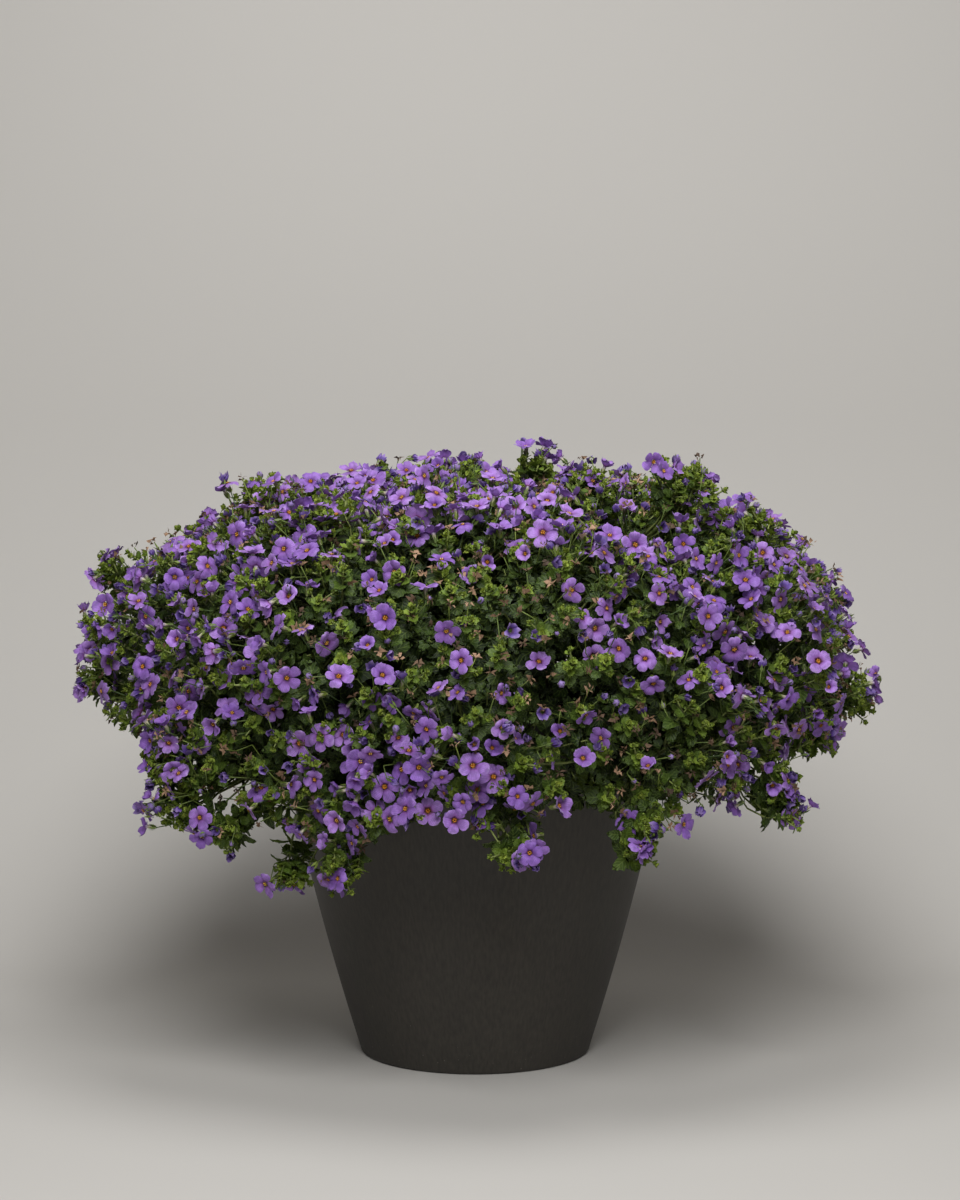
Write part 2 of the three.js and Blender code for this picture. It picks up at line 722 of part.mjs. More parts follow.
// The cluster of blooms of a spray. The first has a stalk that stands in the core's socket.
// More makes the cluster that much larger all round.
function growCluster(spray, more) {
  const skin = new Skin();
  const slim = SOCKET_RADIUS - GAP / Math.cos(Math.PI / SOCKET_SIDES);
  for (const bloom of placeBlooms(spray)) {
    const bottom = growBloom(skin, spray, bloom, more);
    const tube = bloom.centre.clone().addScaledVector(bloom.facing, -BLOOM_TUBE - more);
    if (bloom.parent) {
      skin.fan([...bottom].reverse(), skin.point(tube));
    } else {
      const foot = skin.ring(socketRing(spray, CORE_TOP_DEPTH + SOCKET_DEPTH - GAP, slim));
      const neck = skin.ring(socketRing(spray, CORE_TOP_DEPTH - NECK_RISE, slim));
      const head = skin.ring(circle(tube, bloom.x, bloom.y, slim, SOCKET_SIDES));
      skin.cap([...foot].reverse());
      skin.bridge(foot, neck);
      skin.bridge(neck, head);
      skin.bridge(head, bottom);
    }
  }
  return skin.geometry();
}

function finish(color, roughness) {
  return new THREE.MeshStandardMaterial({ color, roughness, metalness: 0 });
}

const POT_FINISH = finish("#34312c", 0.62);
const SOIL_FINISH = finish("#3b2b1f", 1);
const LEAF_FINISH = {
  skirt: finish("#5f7430", 0.6),
  shoulder: finish("#6b8135", 0.6),
  crown: finish("#7b9140", 0.6),
};
const PETAL_FINISH = finish("#7c56a4", 0.55);

const plant = new THREE.Group();

function addPiece(name, geometry, material) {
  const mesh = new THREE.Mesh(geometry, material);
  mesh.name = name;
  plant.add(mesh);
}

addPiece("pot", potGeometry(), POT_FINISH);
addPiece("soil", soilGeometry(), SOIL_FINISH);
for (const spray of SPRAYS) {
  addPiece(`${spray.name}_foliage`, foliageGeometry(spray), LEAF_FINISH[spray.tier]);
  addPiece(`${spray.name}_blooms`, growCluster(spray, 0), PETAL_FINISH);
}

export default plant;
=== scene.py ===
# %% [markdown]
# # A potted bacopa
# A bacopa is a low plant with hundreds of thin stems. Its small toothed leaves sit on them in
# pairs, and small violet flowers stand between the leaves. Grown in a pot it makes a wide mound
# that spills over the rim. This lesson dresses the solid model of such a plant: the solids
# give the size and the place of each spray, and here each one gets its real leaves,
# flowers, buds and stalks.
#
# All lengths are in millimetres until a mesh is made, because a plant is easier to think of
# in millimetres. Blender's own unit is the metre, so there is one factor between them.

import math

import bpy
import numpy as np
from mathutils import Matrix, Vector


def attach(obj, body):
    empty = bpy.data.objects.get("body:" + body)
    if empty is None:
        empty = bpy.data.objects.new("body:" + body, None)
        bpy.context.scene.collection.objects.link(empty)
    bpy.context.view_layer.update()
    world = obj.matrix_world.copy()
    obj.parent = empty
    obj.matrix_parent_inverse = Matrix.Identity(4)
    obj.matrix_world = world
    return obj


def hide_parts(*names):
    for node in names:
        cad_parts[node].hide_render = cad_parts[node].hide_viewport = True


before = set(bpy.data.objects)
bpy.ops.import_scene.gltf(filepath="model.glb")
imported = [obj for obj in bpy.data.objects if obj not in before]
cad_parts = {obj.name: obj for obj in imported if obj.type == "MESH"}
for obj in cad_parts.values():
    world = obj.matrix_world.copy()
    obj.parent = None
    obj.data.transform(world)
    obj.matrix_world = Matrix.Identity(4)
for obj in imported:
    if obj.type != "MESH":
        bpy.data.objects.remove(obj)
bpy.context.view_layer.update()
MM = 0.001
UP = np.array([0.0, 0.0, 1.0])


# %% [markdown]
# ## The camera
# The camera stands where the photographer's did. Three facts fix it. The size of a flower
# gives the scale, and with the lens that gives the distance. The curve of the pot's foot shows
# how steeply the camera looks down. The middle of the plant gives the place in the picture.
# The camera's place is then worked out from these facts, and not found by trial.

# %% Camera
def put(name, data):
    """A new object with some data, linked to the scene."""
    made = bpy.data.objects.new(name, data)
    bpy.context.scene.collection.objects.link(made)
    return made


HEART = np.array([0.0, 0.0, 200.0])
PICTURE = (960, 1200)
HEART_PIXEL = (475, 750)
VIEW_ANGLE = math.radians(22)
CAMERA_TILT = math.radians(5.3)
CAMERA_DISTANCE = 2040.0


def add_camera():
    """The camera: its place is the heart, less the distance along the view, less the offset
    of the heart's pixel from the middle of the picture, across and up."""
    pixel = 2 * CAMERA_DISTANCE * math.tan(VIEW_ANGLE / 2) / PICTURE[1]
    across = (HEART_PIXEL[0] - PICTURE[0] / 2) * pixel
    upward = (PICTURE[1] / 2 - HEART_PIXEL[1]) * pixel
    ahead = np.array([0, math.cos(CAMERA_TILT), -math.sin(CAMERA_TILT)])
    over = np.array([0, math.sin(CAMERA_TILT), math.cos(CAMERA_TILT)])
    place = HEART - CAMERA_DISTANCE * ahead - upward * over - across * np.array([1, 0, 0])
    data = bpy.data.cameras.new("camera")
    data.sensor_width = 36
    data.lens = data.sensor_width / 2 / math.tan(VIEW_ANGLE / 2)
    data.clip_end = 100
    camera = put("camera", data)
    camera.location = place * MM
    camera.rotation_euler = (math.pi / 2 - CAMERA_TILT, 0, 0)
    bpy.context.scene.camera = camera
    return camera


print("camera at", add_camera().location)


# %% [markdown]
# ## Materials from nodes
# A material is a small graph. Every node of it is made by one function, which sets what the
# node is told and links what it is given. Colours are written as a designer would, as hex
# codes, and turned to the linear numbers that a renderer adds up.

# %% Helpers for materials
def linear(code):
    """A hex colour as linear red, green, blue and alpha: the sRGB curve undone."""
    values = np.array([int(code[k:k + 2], 16) for k in (1, 3, 5)]) / 255
    low, high = values / 12.92, ((values + 0.055) / 1.055) ** 2.4
    return (*np.where(values <= 0.04045, low, high).tolist(), 1.0)


def add(tree, kind, inputs=None, out=None, stops=(), **settings):
    """Adds a node and gives back one of its outputs: the one called out, or else the first in
    use. Settings are the node's own values, and stops are the places and hex colours of a
    ramp. Inputs are values or links for its sockets, found by number or by name."""
    node = tree.nodes.new(kind)
    for name, value in settings.items():
        setattr(node, name, value)
    if stops:
        elements = node.color_ramp.elements
        while len(elements) < len(stops):
            elements.new(0.5)
        for element, (place, code) in zip(elements, stops):
            element.position = place
            element.color = linear(code)
    for key, value in (inputs or {}).items():
        named = [socket for socket in node.inputs if socket.name == key and socket.enabled]
        socket = named[0] if named else node.inputs[key]
        if isinstance(value, bpy.types.NodeSocket):
            tree.links.new(value, socket)
        else:
            socket.default_value = value
    return next((s for s in node.outputs if (s.name == out if out else s.enabled)), None)


def new_material(name):
    """A new material and its tree, still empty."""
    material = bpy.data.materials.new(name)
    material.use_nodes = True
    tree = material.node_tree
    tree.nodes.clear()
    return material, tree


def finish_material(tree, surface):
    """Links a shader to the material's output."""
    add(tree, "ShaderNodeOutputMaterial", {"Surface": surface})


def blotches(tree, size, detail=2.0, stretch=(1, 1, 1)):
    """A pattern of blotches about size millimetres wide, which an axis may squeeze."""
    place = add(tree, "ShaderNodeTexCoord", out="Object")
    scaled = add(tree, "ShaderNodeMapping", {"Vector": place, "Scale": stretch})
    return add(tree, "ShaderNodeTexNoise", {
        "Vector": scaled, "Detail": detail, "Scale": 1 / (size * MM),
    })


def mottled(tree, colour, size, detail, stops):
    """A colour that is darker in blotches: times the greys of a ramp."""
    grey = add(tree, "ShaderNodeValToRGB", {"Fac": blotches(tree, size, detail)}, stops=stops)
    return add(tree, "ShaderNodeMix", {"Factor": 1.0, "A": colour, "B": grey},
               data_type="RGBA", blend_type="MULTIPLY")


print("linear grey of #808080:", round(linear("#808080")[0], 3))


# %% [markdown]
# ## The studio
# A paper roll hangs behind the plant and runs out below it in one soft curve, so there is no
# line where wall meets floor. One large soft lamp stands in front, well above the camera. It
# sends the plant's shadow back, low onto the bend of the paper, and leaves the floor before
# the pot bright. A small soft lamp hangs close above the plant: it lights the crown, and
# hardly reaches the skirt, which keeps the underside of the mound dark. From behind, the
# paper is clear, so the back of the plant can be looked at without taking the paper down.

# %% Backdrop and lamps
SWEEP_WALL = 600.0
SWEEP_BEND = 400.0
SWEEP_FRONT = -3500.0
SWEEP_TOP = 3600.0
SWEEP_WIDTH = 6000.0
SWEEP_STEPS = 24
CLOUD_SIZE = 900.0
ROOM_LIGHT = 0.02


def paper_material():
    """Matte grey paper, as studio backdrop is: a dull, even colour with hardly any grain. It is
    clear from behind, so that the plant's back can be looked at too."""
    material, tree = new_material("uncoated backdrop paper")
    colour = add(tree, "ShaderNodeValToRGB", {"Fac": blotches(tree, CLOUD_SIZE, 1.0)},
                 stops=[(0.35, "#c4c1bc"), (0.65, "#c7c4bf")])
    paper = add(tree, "ShaderNodeBsdfPrincipled", {
        "Base Color": colour, "Roughness": 0.95, "Specular IOR Level": 0.1,
    })
    behind = add(tree, "ShaderNodeNewGeometry", out="Backfacing")
    clear = add(tree, "ShaderNodeBsdfTransparent")
    finish_material(tree, add(tree, "ShaderNodeMixShader", {0: behind, 1: paper, 2: clear}))
    return material


def add_backdrop():
    """The paper: a profile of floor, quarter circle and wall, drawn straight across."""
    turn = np.linspace(0, math.pi / 2, SWEEP_STEPS)
    away = SWEEP_WALL - SWEEP_BEND * (1 - np.sin(turn))
    bend = np.stack([away, SWEEP_BEND * (1 - np.cos(turn))], 1)
    profile = np.vstack([[[SWEEP_FRONT, 0]], bend, [[SWEEP_WALL, SWEEP_TOP]]])
    across = np.array([-SWEEP_WIDTH / 2, SWEEP_WIDTH / 2])
    columns = np.broadcast_arrays(across[:, None], profile[None, :, 0], profile[None, :, 1])
    points = np.stack(columns, -1)
    count = len(profile)
    k = np.arange(count - 1)
    faces = np.stack([k, k + count, k + count + 1, k + 1], 1)
    mesh = bpy.data.meshes.new("backdrop")
    mesh.from_pydata((points.reshape(-1, 3) * MM).tolist(), [], faces.tolist())
    mesh.polygons.foreach_set("use_smooth", np.ones(len(faces), bool))
    mesh.materials.append(paper_material())
    backdrop = put("backdrop", mesh)


# Name, place, the point it is aimed at, diameter and power in watts
LAMPS = [
    ("key_softbox", (0, -1812, 1666), (0, 0, 250), 1200, 46),
    ("top_softbox", (0, -260, 960), (0, 0, 300), 400, 3.3),
]


def add_lamps():
    """The lamps, each turned so that its own -Z axis points at its target, and a dim room."""
    for name, place, target, size, power in LAMPS:
        data = bpy.data.lights.new(name, "AREA")
        data.shape = "DISK"
        data.size = size * MM
        data.energy = power
        lamp = put(name, data)
        lamp.location = np.array(place) * MM
        towards = np.array(target, float) - np.array(place, float)
        lamp.rotation_mode = "QUATERNION"
        lamp.rotation_quaternion = Vector(towards).to_track_quat("-Z", "Y")
    world = bpy.data.worlds.new("room")
    world.use_nodes = True
    background = world.node_tree.nodes["Background"]
    background.inputs["Color"].default_value = linear("#d6d9dd")
    background.inputs["Strength"].default_value = ROOM_LIGHT
    bpy.context.scene.world = world
    bpy.context.scene.view_settings.view_transform = "Standard"


add_backdrop()
add_lamps()
print("lamps:", len(LAMPS))


# %% [markdown]
# ## The mound
# The mound is a rounded body that bulges a little where each spray grows. Seen from the heart
# of the plant, every direction has one distance to the surface. That makes it easy to place
# things on it: choose a direction, then go that far. The same numbers made the solids, so
# leaves and flowers land where the solids say.

# %% The mound's surface
MOUND_REACH = 250
MOUND_RISE = 188
MOUND_SAG = 78
MOUND_SQUARENESS = 3
LUMP_HEIGHT = 0.05
LUMP_WIDTH = 0.18
# One row for each spray: azimuth and elevation in degrees, and extra swell
TIERS = {
    "skirt": [
        (190, 11, -0.03), (218, 3, -0.01), (243, -3, -0.02), (270, 7, 0), (308, 6, -0.01),
        (334, 9, -0.01), (0, 9, -0.01), (32, 2, 0), (67, 3, 0), (105, 2, 0), (147, 7, -0.02),
    ],
    "shoulder": [
        (182, 31, -0.01), (236, 32, -0.01), (285, 33, 0), (333, 31, 0.01), (24, 30, 0),
        (76, 30, 0), (128, 30, -0.03),
    ],
    "crown": [
        (262, 60, -0.01), (334, 57, 0.04), (46, 58, 0), (118, 59, -0.01), (190, 58, -0.03),
        (240, 88, -0.01),
    ],
}
SPRAYS = [f"{tier}_{k + 1}" for tier, rows in TIERS.items() for k in range(len(rows))]
ROWS = np.array([row for rows in TIERS.values() for row in rows], float)


def unit(vectors):
    """Vectors divided by their lengths."""
    return vectors / np.linalg.norm(vectors, axis=-1, keepdims=True)


def direction(azimuth, elevation):
    """The unit vector for an azimuth and an elevation in degrees."""
    a, e = np.radians(azimuth), np.radians(elevation)
    return np.stack([np.cos(e) * np.cos(a), np.cos(e) * np.sin(a), np.sin(e)], -1)


AIMS = direction(ROWS[:, 0], ROWS[:, 1])
print("sprays:", len(SPRAYS))


def reach(v):
    """How far the mound reaches in each direction: a squarish ellipsoid, flatter below than
    above, times one plus a bell-shaped lump round the aim of every spray."""
    across = np.hypot(v[..., 0], v[..., 1]) / MOUND_REACH
    along = np.abs(v[..., 2]) / np.where(v[..., 2] > 0, MOUND_RISE, MOUND_SAG)
    plain = (across ** MOUND_SQUARENESS + along ** MOUND_SQUARENESS) ** (-1 / MOUND_SQUARENESS)
    angle = np.arccos(np.clip(v @ AIMS.T, -1, 1))
    lumps = (LUMP_HEIGHT + ROWS[:, 2]) * np.exp(-(angle / LUMP_WIDTH) ** 2)
    return plain * (1 + lumps.sum(-1))


def under(v, depth):
    """The points that lie some depth below the surface, in each direction."""
    return HEART + v * (reach(v) - depth)[..., None]


def outward(v):
    """The normal of the surface: the cross product of two small steps along it."""
    first = unit(np.cross(v, np.where(np.abs(v[..., 2:]) < 0.9, UP, [1.0, 0, 0])))
    second = np.cross(v, first)
    zero = np.zeros(v.shape[:-1])
    here = under(v, zero)
    steps = [under(unit(v + 0.02 * way), zero) - here for way in (first, second)]
    return unit(np.cross(*steps))


# %% [markdown]
# ## Hem, relief and trailing shoots
# The mound doesn't end at one height all round. Some sprays trail low over the pot, and in
# one place the pot's wall shows between them. A short list of azimuths and heights says how
# low the foliage hangs; between its rows the height changes evenly. The surface isn't
# smooth either. It rises and falls by some millimetres in soft tufts. It has dents where
# foliage has sunk, which a bell-shaped hollow makes well. And a few bunches of shoots
# grow out of the outline or hang from it, as a plant's most vigorous shoots do.

# %% Hem, relief and trailing shoots
# Azimuth in degrees, and the lowest height of foliage there
HEM = np.array([
    (0, 218), (8, 214), (15, 190), (22, 172), (30, 150), (60, 140), (145, 150), (151, 202),
    (160, 214), (172, 221), (185, 230), (200, 230), (209, 222), (221, 207), (226, 196), (230, 186),
    (240, 180), (244, 152), (250, 152), (254, 184), (260, 194), (270, 186), (276, 170), (280, 176),
    (282.5, 196), (284, 226), (290, 228), (291.5, 186), (296, 174), (303, 178), (306, 190),
    (310, 190), (317, 186), (321, 192), (325, 214), (330, 218), (336, 222), (345, 222),
    (352, 220), (360, 218),
], float)
RELIEF = 6.5
# The waves that make the tufts: seed, share, and how quickly it changes with direction
TUFTS = [(5, 0.8, 19), (6, 0.45, 41)]
TUFT_SINES = 5
# The mound has settled a little on its shoulders, and its skirt curls in above the pot:
# elevation in degrees, and depth under the plain mound
SETTLED = np.array([
    (-35, 46), (-14, 38), (-6, 31), (1, 20), (7, 12), (14, 5), (20, 0), (27, 1), (34, 7),
    (42, 12), (55, 9), (70, 6), (90, 7),
], float)
# Places where the foliage has sunk: azimuth, elevation, depth, and half width in degrees
DENTS = np.array([
    (182, 38, 16, 8), (180, 69, 7, 9), (2, 68, 13, 9), (184, 2, 22, 5), (205, -8, 12, 9),
    (345, -8, 14, 11), (300, 46, 6, 6), (250, 14, 7, 6), (283, 8, 6, 5), (320, 20, 6, 6),
    (30, 60, 8, 8), (95, 45, 8, 8),
], float)
# Bunches that stand out: azimuth, elevation, depth under the surface, and spread in degrees
BUNCHES = [
    (324, 50, -12, 5.0), (186, 18, -6, 4.0), (192, 12, -5, 4.0), (352, 10, -2, 4.0),
    (217, 3, 14, 5.0), (219, -1, 12, 5.0), (217, -4, 10, 3.0), (226, -7, 16, 4.0),
    (247, -13, 12, 3.0), (236, -16, 5, 2.5), (277, -7, 10, 3.0), (326, -5, 12, 2.5),
    (340, 4, 18, 4.0), (326, 0, 16, 4.0), (180, 50, -2, 4.0), (349, 52, -3, 3.0),
    (296, -5, 10, 3.0), (350, 77, -6, 4.0), (322, 66, 4, 3.0), (334, 40, -2, 4.0),
    (40, 25, -8, 5.0), (100, 10, -6, 5.0), (150, 34, 0, 5.0), (232, 44, 0, 4.0), (262, 80, 3, 4.0),
    (345, 38, 4, 4.0), (179, 26, -7, 3.0), (6, 22, -4, 4.0),
]


def hem(points):
    """The lowest height of foliage at the azimuth of each point."""
    azimuth = np.degrees(np.arctan2(points[..., 1], points[..., 0])) % 360
    return np.interp(azimuth, HEM[:, 0], HEM[:, 1])


def waves(v, seed, count, frequency):
    """A random wave over the directions, about from -1 to 1: the mean of some sines."""
    rng = np.random.default_rng(seed)
    ways = unit(rng.normal(0, 1, (count, 3))) * frequency
    phase = rng.uniform(0, 2 * math.pi, count)
    return np.sin(v @ ways.T + phase).mean(-1) * math.sqrt(count)


def relief(v):
    """How far the foliage lies under the plain mound: what it has settled by, the dents,
    each a bell-shaped hollow, and the tufts, which are a slow and a quick wave."""
    elevation = np.degrees(np.arcsin(np.clip(v[..., 2], -1, 1)))
    settled = np.interp(elevation, SETTLED[:, 0], SETTLED[:, 1])
    angle = np.degrees(np.arccos(np.clip(v @ direction(DENTS[:, 0], DENTS[:, 1]).T, -1, 1)))
    sunk = (DENTS[:, 2] * np.exp(-(angle / DENTS[:, 3]) ** 2)).sum(-1)
    tufts = sum(share * waves(v, seed, TUFT_SINES, frequency) for seed, share, frequency in TUFTS)
    return settled + sunk + RELIEF * tufts


def bunches(seed, each):
    """Directions and depths for the bunches that stand out, each a number of times."""
    rng = np.random.default_rng(seed)
    rows = np.repeat(np.array(BUNCHES, float), each, axis=0)
    turn = rng.normal(0, 0.5, (len(rows), 2)) * rows[:, 3:]
    v = direction(rows[:, 0] + turn[:, 0] / np.cos(np.radians(rows[:, 1])), rows[:, 1] + turn[:, 1])
    return v, rows[:, 2] + rng.uniform(-3, 8, len(rows))


def scatter(seed, spacing, tries=16000, lowest=-32, hem_drop=0.0):
    """Directions spread evenly over the mound. Each try is a random direction, kept in
    proportion to the area that it stands for, if it is above the hem and no nearer than the
    spacing to one that was kept before."""
    rng = np.random.default_rng(seed)
    height = rng.uniform(math.sin(math.radians(lowest)), 1, tries)
    turn = rng.uniform(0, 2 * math.pi, tries)
    flat = np.sqrt(1 - height ** 2)
    v = np.stack([flat * np.cos(turn), flat * np.sin(turn), height], -1)
    points = under(v, np.zeros(tries))
    area = reach(v) ** 2 / np.maximum(0.2, (outward(v) * v).sum(-1))
    possible = (rng.uniform(0, area.max(), tries) < area) & (points[:, 2] > hem(points) - hem_drop)
    v, points = v[possible], points[possible]
    kept = []
    for k in range(len(points)):
        if not kept or np.min(((points[kept] - points[k]) ** 2).sum(-1)) > spacing ** 2:
            kept.append(k)
    return v[kept]


print("lowest foliage:", HEM[:, 1].min(), "mm. Bunches that stand out:", len(BUNCHES))


# %% [markdown]
# ## From arrays to meshes
# Each leaf or petal is a small grid of points. Rather than copying an object a thousand
# times, the points of all the copies are worked out at once, each copy with its own size,
# bend and twist, and written to one mesh for each spray. Two numbers go along with every
# point: the age of what it belongs to, and a random tint. The materials read them.

# %% Helpers for meshes
def grid_faces(rows, columns, closed=False):
    """The quads of a grid of points, row after row. A closed grid joins its last column to
    its first."""
    r = np.arange(rows - 1)[:, None]
    c = np.arange(columns if closed else columns - 1)[None, :]
    nxt = (c + 1) % columns
    quads = [r * columns + c, r * columns + nxt, (r + 1) * columns + nxt, (r + 1) * columns + c]
    return np.stack(np.broadcast_arrays(*quads), -1).reshape(-1, 4)


def copies(faces, count, size):
    """The faces of one shape with size points, for count copies of it."""
    return (faces[None] + (np.arange(count) * size)[:, None, None]).reshape(-1, faces.shape[1])


def part(points, faces, material, uv, age, tint):
    """One kind of shape, copied: points are (copies, points of one, 3), faces a list of
    arrays for one copy, and uv, age and tint are spread to every point."""
    count, size = points.shape[:2]
    return {
        "points": points.reshape(-1, 3),
        "faces": [copies(f, count, size) for f in faces],
        "material": material,
        "uv": np.broadcast_to(uv, (count, size, 2)).reshape(-1, 2),
        "age": np.broadcast_to(age, (count, size)).reshape(-1),
        "tint": np.broadcast_to(tint, (count, size)).reshape(-1),
    }


def build(name, parts, materials):
    """A mesh object from parts: their arrays are put one after another."""
    mesh = bpy.data.meshes.new(name)
    starts = np.cumsum([0] + [len(p["points"]) for p in parts])
    loops, sizes, slots = [], [], []
    for start, p in zip(starts, parts):
        for faces in p["faces"]:
            loops.append((faces + start).ravel())
            sizes.append(np.full(len(faces), faces.shape[1]))
            slots.append(np.full(len(faces), materials.index(p["material"])))
    loops, sizes, slots = (np.concatenate(x) for x in (loops, sizes, slots))
    points = np.concatenate([p["points"] for p in parts]) * MM
    mesh.vertices.add(len(points))
    mesh.vertices.foreach_set("co", points.astype(np.float32).ravel())
    mesh.loops.add(len(loops))
    mesh.loops.foreach_set("vertex_index", loops.astype(np.int32))
    mesh.polygons.add(len(sizes))
    mesh.polygons.foreach_set("loop_start", (np.cumsum(sizes) - sizes).astype(np.int32))
    mesh.update(calc_edges=True)
    mesh.polygons.foreach_set("material_index", slots.astype(np.int32))
    mesh.polygons.foreach_set("use_smooth", np.ones(len(sizes), bool))
    for material in materials:
        mesh.materials.append(material)
    uv = np.concatenate([p["uv"] for p in parts])[loops]
    mesh.uv_layers.new(name="surface").data.foreach_set("uv", uv.astype(np.float32).ravel())
    for key in ("age", "tint"):
        values = np.concatenate([p[key] for p in parts]).astype(np.float32)
        mesh.attributes.new(key, "FLOAT", "POINT").data.foreach_set("value", values)
    mesh.validate()
    made = put(name, mesh)
    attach(made, "root")
    return made


def triangles(piece):
    """How many triangles a piece has: each face has two fewer than it has corners."""
    return len(piece.data.loops) - 2 * len(piece.data.polygons)


def place(local, origin, axes):
    """Points given along three axes of their own, put in the plant's frame. Local is
    (copies, points, 3), origin is (copies, 3), and axes holds three unit vectors a copy."""
    return origin[:, None] + np.einsum("npk,nkj->npj", local, axes)


def axes_from(first, third):
    """Three axes at right angles. The first is kept, and the third is turned to fit."""
    third = unit(third - first * (third * first).sum(-1, keepdims=True))
    return np.stack([first, np.cross(third, first), third], -2)


print("a grid of three rows and four columns has", len(grid_faces(3, 4)), "faces")


# %% [markdown]
# ## The pot
# The planter is a moulded shell in matte anthracite, 270 mm wide at the rim and 240 mm high,
# with a slightly bulged wall. A lathe shape is right for it: one profile, turned about the
# upright axis. The rim and the foot are rounded with small arcs. The finish looks brushed:
# faint upright streaks, and a few pale specks of dust near the foot.

# %% Pot
POT_HEIGHT = 240.0
FOOT_RADIUS = 75.5
WALL_SLOPE = 0.315
WALL_EASING = 0.000289
POT_WALL = 6.0
POT_FLOOR = 8.0
POT_EDGE = 3.0
RIM_EDGE = 1.6
POT_SIDES = 160
POT_RINGS = 28
DRAINS = 5
DRAIN_RADIUS = 6.0
DRAIN_CIRCLE = 45.0
DRAIN_SIDES = 24
SOIL_TOP = 222.0
STREAK_WIDTH = 1.6
SPECK_WIDTH = 2.2
DUST_TOP = 70.0


def pot_radius(z):
    """The wall's outer radius: the foot's, plus a slope times the height, less an easing
    times the height's square."""
    return FOOT_RADIUS + WALL_SLOPE * z - WALL_EASING * z * z


def arc(centre, radius, start, end, steps=5):
    """Points of an arc in the profile's plane, from one angle to another, in degrees."""
    turn = np.radians(np.linspace(start, end, steps))
    return np.stack([centre[0] + radius * np.cos(turn), centre[1] + radius * np.sin(turn)], 1)


def turned(profile, sides):
    """A profile of radius and height, turned about the upright axis. Ends on the axis."""
    turn = np.linspace(0, 2 * math.pi, sides, endpoint=False)
    ring = np.stack([np.cos(turn), np.sin(turn)], 1)
    inner = profile[1:-1]
    flat = inner[:, None, :1] * ring[None]
    height = np.broadcast_to(inner[:, None, 1:], flat.shape[:2] + (1,))
    body = np.concatenate([flat, height], -1).reshape(-1, 3)
    ends = np.array([[0, 0, profile[0, 1]], [0, 0, profile[-1, 1]]])
    k = np.arange(sides)
    nxt = (k + 1) % sides
    last = (len(inner) - 1) * sides
    count = len(body)
    low = np.stack([np.full(sides, count), nxt, k], 1)
    high = np.stack([np.full(sides, count + 1), last + k, last + nxt], 1)
    return np.vstack([body, ends]), [grid_faces(len(inner), sides, closed=True), low, high]


def pot_profile():
    """Radius and height, from the middle of the underside, up the wall, over the rim and down
    inside to the middle of the floor."""
    z = np.linspace(POT_EDGE, POT_HEIGHT - RIM_EDGE, POT_RINGS)
    wall = np.stack([pot_radius(z), z], 1)
    rim = pot_radius(POT_HEIGHT)
    foot = arc((pot_radius(POT_EDGE) - POT_EDGE, POT_EDGE), POT_EDGE, -90, 0)[:-1]
    outer_lip = arc((rim - RIM_EDGE, POT_HEIGHT - RIM_EDGE), RIM_EDGE, 0, 90)[1:]
    inner_lip = arc((rim - POT_WALL + RIM_EDGE, POT_HEIGHT - RIM_EDGE), RIM_EDGE, 90, 180)
    z = np.linspace(SOIL_TOP, POT_FLOOR, 6)
    inside = np.stack([pot_radius(z) - POT_WALL, z], 1)
    return np.vstack([[[0, 0]], foot, wall, outer_lip, inner_lip, inside, [[0, POT_FLOOR]]])


def pot_material():
    """Moulded plastic with a mineral filler, brushed upright: matte, nearly black, with
    streaks about a millimetre wide and specks of lime near the foot."""
    material, tree = new_material("moulded anthracite planter")
    streaks = blotches(tree, STREAK_WIDTH, 3.0, (1, 1, 0.03))
    clouds = blotches(tree, 60, 3.0)
    colour = add(tree, "ShaderNodeValToRGB", {"Fac": clouds},
                 stops=[(0.3, "#2d2a25"), (0.7, "#37332d")])
    lines = add(tree, "ShaderNodeValToRGB", {"Fac": streaks},
                stops=[(0.3, "#22201c"), (0.7, "#443f37")])
    colour = add(tree, "ShaderNodeMix", {"Factor": 0.35, "A": colour, "B": lines}, data_type="RGBA")
    place = add(tree, "ShaderNodeTexCoord", out="Object")
    height = add(tree, "ShaderNodeSeparateXYZ", {0: place}, out="Z")
    least = add(tree, "ShaderNodeMapRange", {
        "Value": height, "From Min": 0.0, "From Max": DUST_TOP * MM, "To Min": 0.745, "To Max": 0.86,
    })
    dust = add(tree, "ShaderNodeMath", {0: blotches(tree, SPECK_WIDTH, 1.0), 1: least},
               operation="GREATER_THAN")
    dust = add(tree, "ShaderNodeMath", {0: dust, 1: 0.5}, operation="MULTIPLY")
    colour = add(tree, "ShaderNodeMix", {"Factor": dust, "A": colour, "B": linear("#7b766d")},
                 data_type="RGBA")
    grain = add(tree, "ShaderNodeBump", {"Height": streaks, "Strength": 0.12, "Distance": 0.0004})
    rough = add(tree, "ShaderNodeMapRange", {"Value": clouds, "To Min": 0.5, "To Max": 0.68})
    finish_material(tree, add(tree, "ShaderNodeBsdfPrincipled", {
        "Base Color": colour, "Roughness": rough, "Normal": grain, "IOR": 1.5,
    }))
    return material


